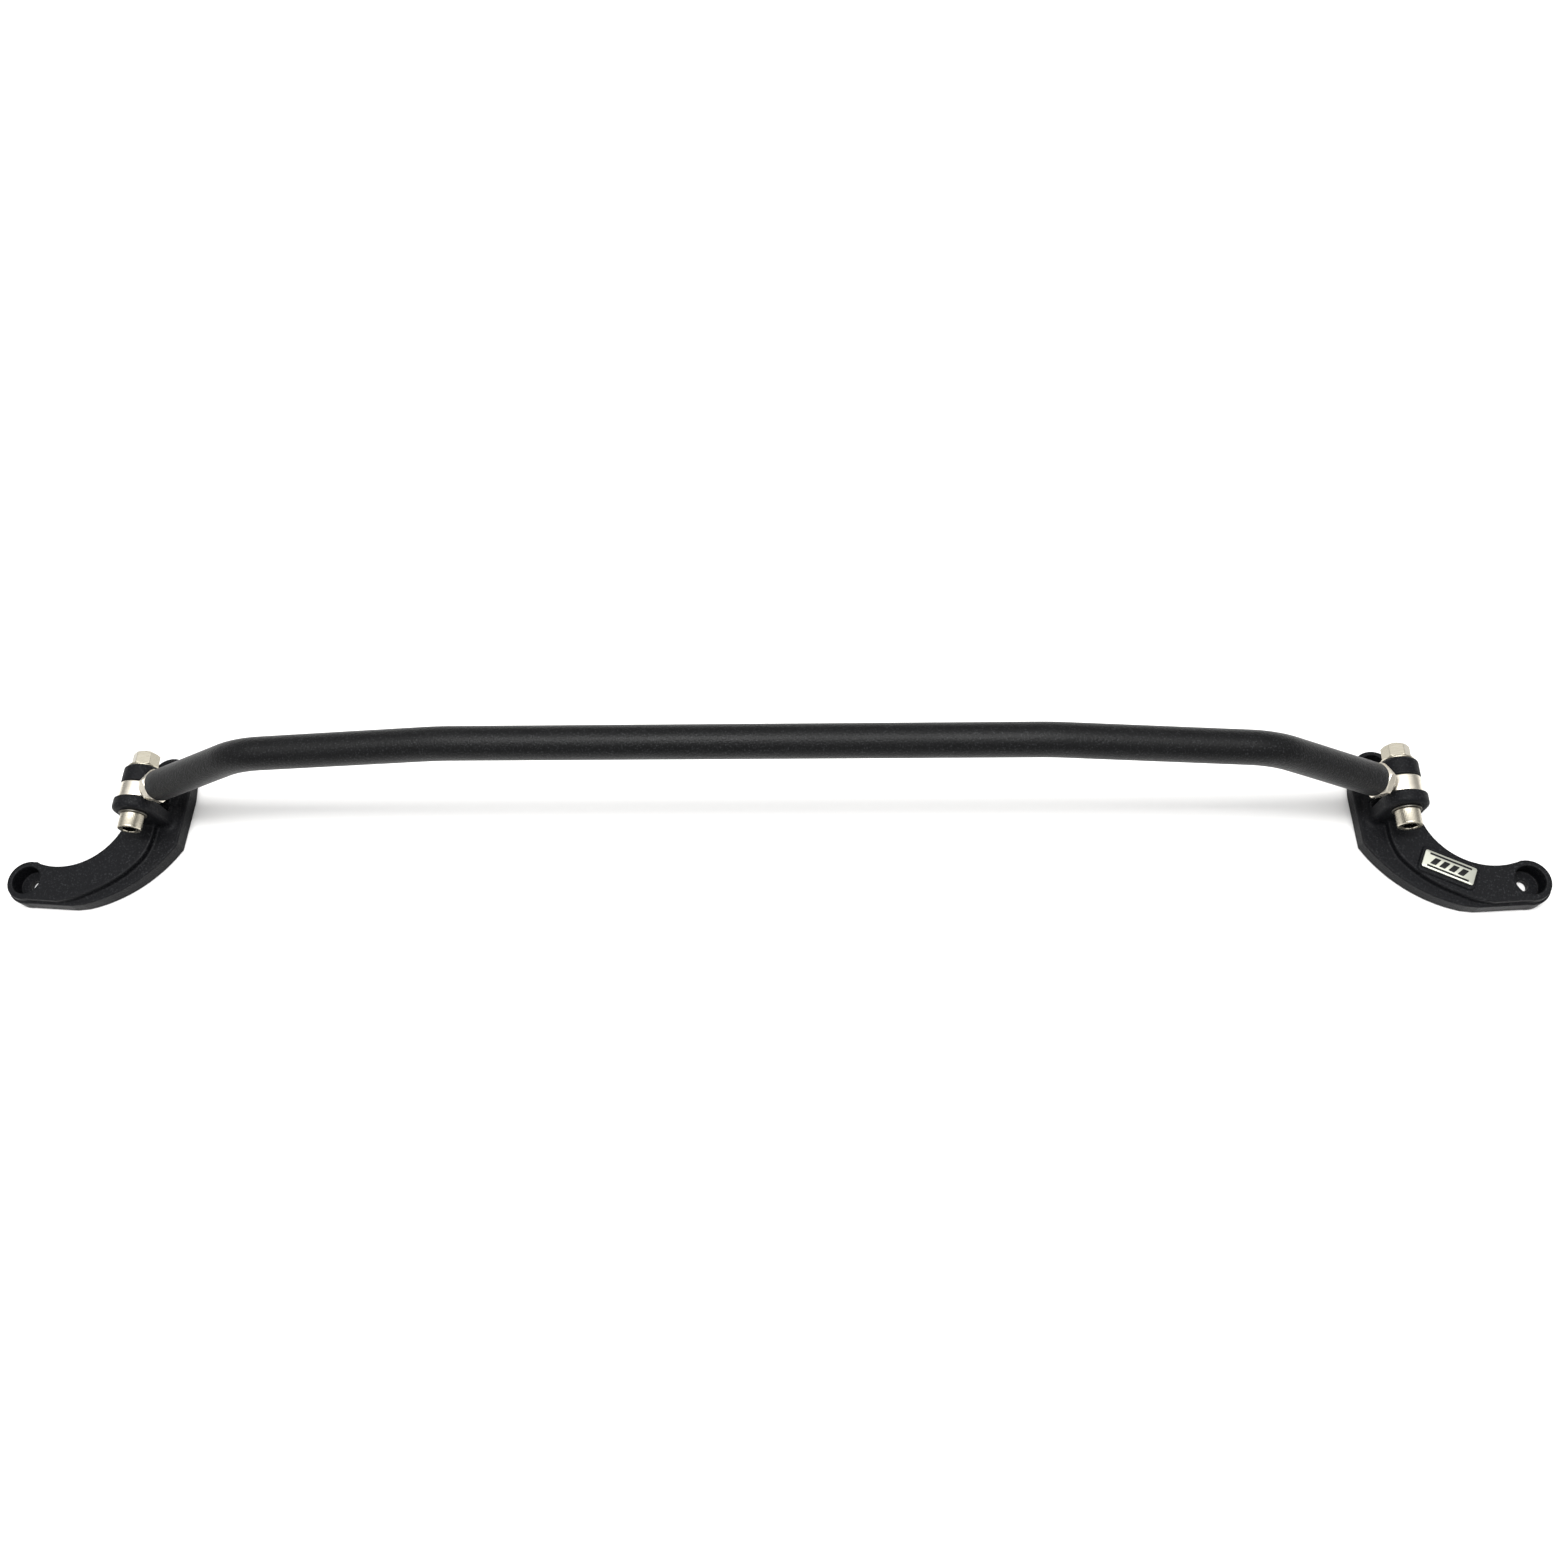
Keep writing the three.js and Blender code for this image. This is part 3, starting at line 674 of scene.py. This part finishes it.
bung = {"outer": 10.4, "inner": 8.35, "from": 31.9, "to": 73.9, "rim": 0.4, "columns": 64}
jamNut = {"halfFlats": 12.0, "bore": 8.35, "from": 24.5, "to": 31.5, "faceRadius": 11.3, "lead": 0.9,
          "turn": math.pi / 2}
nutForm = {
    "slope": 0.577, "softness": 90, "perSide": 18,
    "depths": np.array([0, 0.12, 0.25, 0.4, 0.55, 0.7, 0.85, 1.0, 1.2, 1.45, 1.8, 2.4]),  # from each face
    "blend": 0.25, "faceInset": 0.25,
}


def hexNutShell(size):
    # radius is the smaller of the softened hexagon and a cone that trims the corners at both faces
    low, high = size["from"], size["to"]
    angles = hexAngles(nutForm["perSide"], size["turn"])
    hexagon = hexRadius(angles, size["halfFlats"], size["turn"], nutForm["softness"])
    depth, blend = nutForm["depths"], nutForm["blend"]
    along = np.concatenate([low + depth, high - depth[::-1]])
    cone = size["faceRadius"] + np.minimum(along - low, high - along) / nutForm["slope"]
    gap = np.maximum(blend - np.abs(hexagon[None, :] - cone[:, None]), 0)
    sideRadius = np.minimum(hexagon[None, :], cone[:, None]) - gap ** 2 / (4 * blend)
    mouth = size["bore"] + size["lead"]
    face = size["faceRadius"] - nutForm["faceInset"]
    inside = np.array([
        [face, high], [mouth, high], [size["bore"], high - size["lead"]],
        [size["bore"], low + size["lead"]], [mouth, low], [face, low],
    ])
    rows = np.vstack([sideRadius, np.repeat(inside[:, :1], len(angles), axis=1)])
    heights = np.concatenate([along, inside[:, 1]])[:, None]
    return torusShell(turnedGrid(rows, heights, angles))


for sideName, side in sides.items():
    end = sideName.capitalize()
    makePiece("tubeBung" + end, [ringShell(bung)], alongTube, side, bungSteel, "bar",
              "tube_bung_" + sideName)
    makePiece("jamNut" + end, [hexNutShell(jamNut)], alongTube, side, jamNutPlate, "bar",
              "jam_nut_" + sideName, nutSharp)

eye = {
    "radius": 14.0, "halfWidth": 6.48, "edge": 0.9, "bore": 9.3, "boreEdge": 0.7,
    "neckRadius": 9.5, "waist": 5.9, "waistEnd": 17.4, "neckFull": 20.4, "neckEnd": 22.0, "neckEdge": 0.8,
    "blend": 2.4, "cell": 0.36, "neckStart": 4.0, "margin": 1.0,
    "shankSunk": 1.5, "shankChamfer": 1.5, "plainLead": 2.0,
    "shank": 8.0, "threadDepth": 0.85, "pitch": 1.5, "shankEnd": 76.0, "columns": 60, "rowsPerPitch": 8,
}


def eyeField(x, y, z):
    # x up from the tube line, y along it, z to the rear: a rounded disc joined to a neck that widens
    disc = slab(np.hypot(x, y) - eye["radius"], z, -eye["halfWidth"], eye["halfWidth"], eye["edge"])
    share = np.clip((y - eye["waistEnd"]) / (eye["neckFull"] - eye["waistEnd"]), 0, 1)
    radius = eye["waist"] + (eye["neckRadius"] - eye["waist"]) * share * share * (3 - 2 * share)
    neck = slab(np.hypot(x, z) - radius, y, eye["neckStart"], eye["neckEnd"], eye["neckEdge"])
    whole = joined(disc, neck, eye["blend"])
    return cut(whole, np.hypot(x, y) - eye["bore"], eye["boreEdge"])


threadForm = {"steepness": 1.25, "flatCrest": 0.1}


def threadShell(major, depth, pitch, low, high, chamfer, columns, rowsPerPitch, startPlain):
    # radius falls in a V once a turn while the V climbs one pitch; both ends fade to a plain cone
    rows = int((high - low) / pitch * rowsPerPitch) + 1
    along = np.linspace(low, high, rows)[:, None]
    angles = np.linspace(0, tau, columns, endpoint=False)
    phase = (along / pitch - angles[None, :] / tau) % 1
    vee = 1 - np.abs(2 * phase - 1)
    valley = np.clip(threadForm["steepness"] * vee - threadForm["flatCrest"], 0, 1)
    fade = np.clip((along - low - startPlain) / pitch, 0, 1)
    radius = major - depth * valley * fade
    radius = np.minimum(radius, major - chamfer + (high - along))
    grid = turnedGrid(radius, along, angles)
    return cappedShell(grid, [[0, low, 0]], [[0, high, 0]])


reach, depth = eye["radius"] + eye["margin"], eye["neckRadius"] + eye["margin"]
eyeShell = fieldSurface(
    eyeField, (-reach, -reach, -depth), (reach, eye["neckEnd"] + eye["margin"], depth), eye["cell"],
)
shankShell = threadShell(
    eye["shank"], eye["threadDepth"], eye["pitch"], eye["neckEnd"] - eye["shankSunk"], eye["shankEnd"],
    eye["shankChamfer"], eye["columns"], eye["rowsPerPitch"], eye["plainLead"],
)
bush = {"outer": 9.0, "inner": 6.3, "from": -6.5, "to": 6.5, "rim": 0.5, "columns": 64}

for sideName, side in sides.items():
    end = sideName.capitalize()
    makePiece("eyeEnd" + end, [eyeShell, shankShell], alongTube, side, eyeMetal, "end_" + sideName,
              "eye_end_" + sideName, None)
    makePiece("eyeBush" + end, [ringShell(bush)], alongBolt, side, bushBronze, "end_" + sideName,
              "eye_bush_" + sideName)

bolt = {
    "headRadius": 9.0, "headFace": -18.7, "headEnd": -30.7, "headEdge": 0.9, "underEdge": 0.25,
    "flutes": 54, "fluteDepth": 0.11, "socketHalf": 5.0, "socketDepth": 6.0, "socketLead": 0.45,
    "radius": 6.0, "tip": 35.7, "tipChamfer": 1.1, "pitch": 1.75, "threadDepth": 0.95, "threadStart": 17.0,
    "columns": 216, "threadColumns": 60, "rowsPerPitch": 8, "threadLead": 1.0, "threadOverlap": 1.0,
    "threadGap": 0.01, "softness": 110, "edgeRows": 6,
    "tipDepth": 1.6, "coneDepth": 1.3, "coneShare": 0.3, "floorShare": 0.96, "floorEase": 0.15,
    "mouthShare": 1.12, "mouthDepth": 0.04, "mouthStep": 0.12, "faceBand": 0.6,
    "fluteFront": (1.5, 1.9), "fluteBack": (1.3, 0.9), "shadedRows": 3,
}
pivotNut = {"halfFlats": 9.0, "bore": 6.1, "from": 22.9, "to": 33.7, "faceRadius": 8.5, "lead": 0.8,
            "turn": math.radians(15)}
headWasher = {"outer": 10.5, "inner": 6.5, "from": -18.4, "to": -17.1, "rim": 0.35, "columns": 72}
nutWasher = {"outer": 12.0, "inner": 6.5, "from": 21.1, "to": 22.6, "rim": 0.4, "columns": 80}


def boltHeadShell():
    # socket floor, six-sided wall, eased mouth, flat face, rounded edge, fluted side, then under the head
    size = bolt
    angles = np.linspace(0, tau, size["columns"], endpoint=False)
    hexagon = hexRadius(angles, size["socketHalf"], math.pi / 2, size["softness"])
    floor = size["headEnd"] + size["socketDepth"]
    face = size["headEnd"]
    flute = size["fluteDepth"] * (0.5 - 0.5 * np.cos(size["flutes"] * angles))
    rows, heights = [], []

    def addRow(radius, height):
        # one ring; either value may be the same all round
        rows.append(np.broadcast_to(radius, angles.shape))
        heights.append(np.broadcast_to(height, angles.shape))

    addRow(hexagon * size["coneShare"], floor + size["coneDepth"])
    addRow(hexagon * size["floorShare"], floor)
    addRow(hexagon, floor - size["floorEase"])
    addRow(hexagon, face + size["socketLead"])
    mouth = np.maximum(hexagon, size["socketHalf"] * size["mouthShare"])
    addRow(mouth, face + size["mouthDepth"])
    addRow(mouth + size["mouthStep"], face)
    head, under = size["headRadius"], size["headFace"]
    addRow(head - size["headEdge"] - size["faceBand"], face)
    for angle in np.linspace(0, math.pi / 2, size["edgeRows"]):
        radius = head - size["headEdge"] * (1 - math.sin(angle))
        addRow(radius, face + size["headEdge"] * (1 - math.cos(angle)))
    plainFront, fullFront = size["fluteFront"]
    fullBack, plainBack = size["fluteBack"]
    addRow(head, face + plainFront)
    addRow(head - flute, face + fullFront)
    addRow(head - flute, under - fullBack)
    addRow(head, under - plainBack)
    addRow(head, under - size["underEdge"])
    addRow(head - size["underEdge"], under)
    addRow(size["radius"], under)
    shankEnd = size["threadStart"] + size["threadOverlap"]
    addRow(size["radius"], shankEnd)
    grid = turnedGrid(np.array(rows), np.array(heights), angles)
    return cappedShell(grid, [[0, floor + size["tipDepth"], 0]], [[0, shankEnd, 0]])


boltThread = threadShell(
    bolt["radius"] - bolt["threadGap"], bolt["threadDepth"], bolt["pitch"], bolt["threadStart"], bolt["tip"],
    bolt["tipChamfer"], bolt["threadColumns"], bolt["rowsPerPitch"], bolt["threadLead"],
)
# painted shade: the first rows, at the socket floor, take the near-black socket material in place of the
# shade there
shaded = (socketShade, bolt["shadedRows"] * bolt["columns"])
for sideName, side in sides.items():
    end = sideName.capitalize()
    foot = "foot_" + sideName
    makePiece("pivotBolt" + end, [boltHeadShell(), boltThread], alongBolt, side, boltMetal, foot,
              "pivot_bolt_" + sideName, boltSharp, shaded)
    makePiece("pivotNut" + end, [hexNutShell(pivotNut)], alongBolt, side, nutMetal, foot,
              "pivot_nut_" + sideName, nutSharp)
    makePiece("headWasher" + end, [ringShell(headWasher)], alongBolt, side, headWasherMetal, foot,
              "head_washer_" + sideName)
    makePiece("nutWasher" + end, [ringShell(nutWasher)], alongBolt, side, nutWasherMetal, foot,
              "nut_washer_" + sideName)

bracket = {
    "flange": 14.0, "band": 20.0, "plateEdge": 1.3, "bandEdge": 1.1, "stepFillet": 1.8,
    "boss": 15.5, "frontFoot": 17.58, "frontStud": (90.6, -64.0), "rearBoss": (-8.0, 25.8),
    "rearStud": (-8.0, 29.6), "hole": 4.25, "frontSink": 11.2, "rearSink": 8.5, "sinkFloor": 6.0,
    "sinkTop": 24.0, "holeEdge": 0.8,
    "opening": (67.6, -3.5, 49.0), "openingFrom": 170.0, "openingTo": 288.0,
    "horn": (23.6, 12.0), "hornLead": 7.0, "bossLeave": 45.0, "frontBossFrom": 92.0, "frontBossTo": -97.0,
    "outerArc": (66.5, 18.0, 103.4), "outerFrom": -103.5, "outerTo": -151.0,
    "frontCorner": (52.0, -83.6), "inside": -25.3,
    "bandLine": [(62, -81.2), (49, -79), (38, -74.6), (26, -68.6), (16, -62), (8, -55), (0, -45),
                 (-3.5, -36), (-5, -26), (-5, -10)],
    "frontLug": 16.4, "rearLug": 14.2, "lugFront": -16.8, "lugRear": 20.8,
    "frontRound": 3.6, "rearRound": 2.8, "pivotHeight": 45.0, "footFillet": 3.0,
    "inboardFillet": 5.0, "slotHalf": 6.8, "slotFloor": 21.0, "slotRound": 2.2,
    "slotEdge": 1.1, "pin": 6.3, "pinEdge": 0.9,
    "padCentre": (31.8, -55.3), "padTurn": -25.0, "padHalf": (20.6, 10.1), "padCorner": 3.2,
    "padBase": 12.0, "padTop": 22.2, "padEdge": 0.6, "padFillet": 1.4, "cell": 0.62, "mapCell": 0.5,
    "hornPoints": 9, "linePoints": 6, "stepFrom": 1.5, "stepOver": 3.0, "lugFoot": 3.0,
    "inboardFrom": 6.0, "inboardOver": 8.0,
}


def arcPoints(centreX, centreY, radius, fromAngle, toAngle, step=1.2):
    # points on a circle between two angles in degrees, about step millimetres apart
    count = max(int(abs(math.radians(toAngle - fromAngle)) * radius / step), 3)
    angle = np.radians(np.linspace(fromAngle, toAngle, count + 1))
    return np.stack([centreX + radius * np.cos(angle), centreY + radius * np.sin(angle)], axis=-1)


def concaveEdge():
    # from the rear boss past the horn and round the strut opening
    size = bracket
    leave = math.radians(size["bossLeave"])
    start = np.array(size["rearBoss"]) + size["boss"] * np.array([math.cos(leave), math.sin(leave)])
    horn = np.array(size["horn"])
    share = size["hornLead"] / np.linalg.norm(horn - start)
    lead = horn + (start - horn) * share
    ring = arcPoints(*size["opening"], size["openingFrom"], size["openingTo"])
    t = np.linspace(0, 1, size["hornPoints"])[:, None]
    curve = (1 - t) ** 2 * lead + 2 * t * (1 - t) * horn + t * t * ring[0]
    return np.vstack([curve[:-1], ring])


def smoothLine(points, steps):
    # a curve through every point, each stretch a cubic shaped by its neighbours
    points = np.array(points, float)
    padded = np.vstack([2 * points[0] - points[1], points, 2 * points[-1] - points[-2]])
    t = np.linspace(0, 1, steps, endpoint=False)[:, None]
    parts = []
    for a, b, c, d in zip(padded[:-3], padded[1:-2], padded[2:-1], padded[3:]):
        bend = 2 * a - 5 * b + 4 * c - d
        twist = 3 * b - a - 3 * c + d
        parts.append(0.5 * (2 * b + (c - a) * t + bend * t ** 2 + twist * t ** 3))
    return np.vstack(parts + [points[-1:]])


def outlineLoop():
    # the foot of the plate, from the rear boss round the opening, the front boss and the outer arc
    size = bracket
    return np.vstack([
        arcPoints(*size["rearBoss"], size["boss"], 180, size["bossLeave"]), concaveEdge(),
        arcPoints(*size["frontStud"], size["frontFoot"], size["frontBossFrom"], size["frontBossTo"]),
        [size["frontCorner"]], arcPoints(*size["outerArc"], size["outerFrom"], size["outerTo"]),
        [(size["inside"], size["rearBoss"][1] - size["boss"])],
    ])


def bandLoop():
    # the raised band, between the opening and the step line
    size = bracket
    rearX, rearY = size["rearBoss"]
    return np.vstack([
        [(rearX, rearY - size["boss"]), (rearX, rearY)], concaveEdge(),
        arcPoints(*size["frontStud"], size["boss"], size["frontBossFrom"], size["frontBossTo"]),
        smoothLine(size["bandLine"], size["linePoints"]),
    ])


def flatMap(loop, lowest, highest, cell):
    # the outline distance on a fine flat grid, and a lookup between its points
    xs = np.arange(lowest[0], highest[0] + cell, cell)
    ys = np.arange(lowest[1], highest[1] + cell, cell)
    table = segmentDistance(xs[:, None] + 0 * ys[None, :], ys[None, :] + 0 * xs[:, None], loop)

    def lookup(x, y):
        # the four nearest values, each weighted by its share of the patch
        lastInside = 1.001
        u = np.clip((x - xs[0]) / cell, 0, len(xs) - lastInside)
        v = np.clip((y - ys[0]) / cell, 0, len(ys) - lastInside)
        i, j = np.broadcast_arrays(u.astype(int), v.astype(int))
        fu, fv = u - i, v - j
        near = table[i, j] * (1 - fv) + table[i, j + 1] * fv
        far = table[i + 1, j] * (1 - fv) + table[i + 1, j + 1] * fv
        return near * (1 - fu) + far * fu

    return lookup


lowCorner, highCorner = (-26.0, -86.0, -1.0), (113.0, 45.0, 64.0)
edgeMap = flatMap(outlineLoop(), lowCorner, highCorner, bracket["mapCell"])
bandMap = flatMap(bandLoop(), lowCorner, highCorner, bracket["mapCell"])


def bracketField(x, y, z, withPad):
    # plate and raised band, bosses, clevis lugs on a pedestal, less the slot, the pin hole and the stud holes
    size = bracket
    edge = edgeMap(x, y)
    toFront, toBoss, toRear = (
        np.hypot(x - size[key][0], y - size[key][1]) for key in ("frontStud", "rearBoss", "rearStud")
    )
    taper = size["frontFoot"] + (size["boss"] - size["frontFoot"]) * np.clip(z / size["band"], 0, 1)
    raised = np.minimum(np.minimum(bandMap(x, y), toFront - taper), toBoss - size["boss"])
    plate = slab(np.minimum(edge, toFront - taper), z, 0, size["flange"], size["plateEdge"])
    band = slab(raised, z, 0, size["band"], size["bandEdge"])
    inner = size["stepFillet"] * np.clip((-edge - size["stepFrom"]) / size["stepOver"], 0, 1)
    body = joined(plate, band, inner)
    above = np.maximum(z - size["pivotHeight"], 0)
    aside = np.hypot(x, above)
    frontLug = slab(aside - size["frontLug"], y, size["lugFront"], 0, size["frontRound"])
    rearLug = slab(aside - size["rearLug"], y, 0, size["lugRear"], size["rearRound"])
    lugs = np.maximum(np.minimum(frontLug, rearLug), size["lugFoot"] - z)
    share = np.clip((-x - size["inboardFrom"]) / size["inboardOver"], 0, 1)
    fillet = size["footFillet"] + (size["inboardFillet"] - size["footFillet"]) * share
    body = joined(body, lugs, fillet)
    if withPad:
        turn = math.radians(size["padTurn"])
        padX, padY = size["padCentre"]
        u = (x - padX) * math.cos(turn) + (y - padY) * math.sin(turn)
        v = (y - padY) * math.cos(turn) - (x - padX) * math.sin(turn)
        du = np.abs(u) - size["padHalf"][0] + size["padCorner"]
        dv = np.abs(v) - size["padHalf"][1] + size["padCorner"]
        flat = cornerDistance(du, dv) - size["padCorner"]
        pad = slab(flat, z, size["padBase"], size["padTop"], size["padEdge"])
        body = joined(body, pad, size["padFillet"])
    side = np.abs(y) - size["slotHalf"] + size["slotRound"]
    floor = size["slotFloor"] - z + size["slotRound"]
    slot = cornerDistance(side, floor) - size["slotRound"]
    body = cut(body, slot, size["slotEdge"])
    body = cut(body, np.hypot(x, z - size["pivotHeight"]) - size["pin"], size["pinEdge"])
    for reach, sink in ((toFront, size["frontSink"]), (toRear, size["rearSink"])):
        hole = np.minimum(reach - size["hole"], np.maximum(reach - sink, size["sinkFloor"] - z))
        body = cut(body, np.maximum(hole, z - size["sinkTop"]), size["holeEdge"])
    return np.maximum(body, -z)


for sideName, side in sides.items():
    field = functools.partial(bracketField, withPad=sideName == "right")
    shell = fieldSurface(field, lowCorner, highCorner, bracket["cell"])
    makePiece("bracket" + sideName.capitalize(), [shell], onPlate, side, bracketCoat, "foot_" + sideName,
              "bracket_" + sideName, None)

badge = {
    "centre": (31.8, -55.3), "turn": -25.0, "half": (19.0, 7.2), "corner": 1.6, "low": 22.5, "high": 23.7,
    "edge": 0.3, "inlayHigh": 23.82, "bars": (-10.2, -3.4, 3.4, 10.2),
    "barHalf": (2.2, 2.9), "slant": 1.5, "railHalf": (15.4, 0.8), "railPlace": 5.0,
    "barRound": 0.35, "railRound": 0.3, "inlaySunk": 0.4, "inlayEdge": 0.05,
}


def roundedLoop(corners, rounding, steps=6):
    # a flat outline with every corner rounded
    return easedProfile([(x, y, rounding) for x, y in corners], steps)


def slabShell(loop, low, high, rounding, steps=4):
    # a thin plate: the outline is drawn in towards its middle at both faces to round the rims
    ahead = np.roll(loop, -1, axis=0) - np.roll(loop, 1, axis=0)
    inward = np.stack([-ahead[:, 1], ahead[:, 0]], axis=-1)
    inward /= np.linalg.norm(inward, axis=1)[:, None]
    middle = loop.mean(axis=0)
    if ((middle - loop) * inward).sum() < 0:
        inward = -inward
    angles = np.linspace(0, math.pi / 2, steps)
    draw = np.concatenate([rounding * (1 - np.sin(angles)), rounding * (1 - np.cos(angles))])
    height = np.concatenate([low + rounding * (1 - np.cos(angles)), high - rounding * (1 - np.sin(angles))])
    flat = loop[None] + inward[None] * draw[:, None, None]
    grid = np.concatenate([flat, np.broadcast_to(height[:, None, None], flat.shape[:2] + (1,))], axis=-1)
    return cappedShell(grid, [[middle[0], middle[1], low]], [[middle[0], middle[1], high]])


def onBadge(points):
    # turned flat about the badge's middle, then placed on the bracket
    turn = math.radians(badge["turn"])
    x = points[:, 0] * math.cos(turn) - points[:, 1] * math.sin(turn) + badge["centre"][0]
    y = points[:, 0] * math.sin(turn) + points[:, 1] * math.cos(turn) + badge["centre"][1]
    return onPlate(np.stack([x, y, points[:, 2]], axis=-1))


halfLength, halfWidth = badge["half"]
plateLoop = roundedLoop(
    [(sideX * halfLength, sideY * halfWidth) for sideX, sideY in ((1, -1), (1, 1), (-1, 1), (-1, -1))],
    badge["corner"],
)
makePiece("badgePlate", [slabShell(plateLoop, badge["low"], badge["high"], badge["edge"])], onBadge, 1.0,
          badgeMetal, "foot_right", "badge_plate")
outlines = []
for barX in badge["bars"]:
    (wide, tall), lean = badge["barHalf"], badge["slant"]
    outlines.append(roundedLoop([
        (barX - wide - lean, -tall), (barX + wide - lean, -tall),
        (barX + wide + lean, tall), (barX - wide + lean, tall),
    ], badge["barRound"]))
for place in (-badge["railPlace"], badge["railPlace"]):
    long, thin = badge["railHalf"]
    low, high = place - thin, place + thin
    outlines.append(roundedLoop([(long, low), (long, high), (-long, high), (-long, low)], badge["railRound"]))
inlayLow = badge["high"] - badge["inlaySunk"]
inlays = [slabShell(loop, inlayLow, badge["inlayHigh"], badge["inlayEdge"]) for loop in outlines]
makePiece("badgeStripes", inlays, onBadge, 1.0, badgeEnamel, "foot_right")
print("pieces made")

stage = {
    "floorHalf": 6.0, "floorColour": (0.93, 0.927, 0.918, 1), "skyLowHigh": (0.4, 1.6),
    "skyFromTo": (0.5, 0.95), "paperScale": 240, "paperDetail": 3.0, "paperShade": 0.985,
    "roughness": 0.8, "gloss": 0.2,
}
overhead = {
    "place": (-0.05, -0.03, 1.8), "target": (-0.05, -0.03, 0.0), "size": (1.9, 0.4), "power": 36,
}


def softLight(name, light):
    # a wide flat lamp, turned so that it shines at its target
    data = bpy.data.lights.new(name, "AREA")
    data.shape = "RECTANGLE"
    data.size, data.size_y = light["size"]
    data.energy = light["power"]
    made = addObject(name, data)
    made.location = light["place"]
    direction = Vector(light["target"]) - made.location
    made.rotation_euler = direction.to_track_quat("-Z", "Y").to_euler()


def makeStage():
    # pale paper floor, a sky that brightens towards the top, and one soft lamp overhead
    half = stage["floorHalf"]
    mesh = bpy.data.meshes.new("floor")
    corners = [(-half, -half, 0), (half, -half, 0), (half, half, 0), (-half, half, 0)]
    mesh.from_pydata(corners, [], [(0, 1, 2, 3)])
    material, tree, shader = newMaterial("floorPaper")
    paper = noiseValue(tree, objectPlace(tree), stage["paperScale"], stage["paperDetail"])
    shade = [c * stage["paperShade"] for c in stage["floorColour"][:3]] + [1]
    tree.links.new(mixedColour(tree, paper, stage["floorColour"], shade), shader.inputs["Base Color"])
    shader.inputs["Roughness"].default_value = stage["roughness"]
    shader.inputs["Specular IOR Level"].default_value = stage["gloss"]
    mesh.materials.append(material)
    floor = addObject("floor", mesh)
    world = bpy.data.worlds.new("studio")
    world.use_nodes = True
    tree = world.node_tree
    split = addNode(tree, "ShaderNodeSeparateXYZ")
    tree.links.new(addNode(tree, "ShaderNodeTexCoord").outputs["Generated"], split.inputs[0])
    strength = ranged(tree, split.outputs["Z"], *stage["skyFromTo"], *stage["skyLowHigh"])
    tree.links.new(strength, tree.nodes["Background"].inputs["Strength"])
    tree.nodes["Background"].inputs["Color"].default_value = (1, 1, 1, 1)
    bpy.context.scene.world = world
    softLight("overhead", overhead)


makeStage()

view = {
    "place": (0.08725, -0.36054, 0.99757), "yaw": -0.1426, "pitch": 63.8735, "roll": -7.849,
    "lens": 30.41, "sensor": 36, "shift": -0.0529, "nearest": 0.01,
}


def makeCamera():
    # turned about the vertical, then down, then about the line of sight
    yaw, pitch, roll = view["yaw"], math.radians(view["pitch"]), math.radians(view["roll"])
    level = math.cos(pitch)
    forward = Vector((math.sin(yaw) * level, math.cos(yaw) * level, -math.sin(pitch)))
    right = Vector((math.cos(yaw), -math.sin(yaw), 0))
    up = right.cross(forward)
    leanRight = right * math.cos(roll) + up * math.sin(roll)
    leanUp = up * math.cos(roll) - right * math.sin(roll)
    data = bpy.data.cameras.new("camera")
    data.lens = view["lens"]
    data.sensor_width = view["sensor"]
    data.shift_y = view["shift"]
    data.clip_start = view["nearest"]
    camera = addObject("camera", data)
    turn = Matrix((leanRight, leanUp, -forward)).transposed().to_4x4()
    camera.matrix_world = Matrix.Translation(view["place"]) @ turn
    bpy.context.scene.camera = camera


makeCamera()
bpy.context.scene.view_settings.view_transform = "Standard"
print("stage, light and camera set")
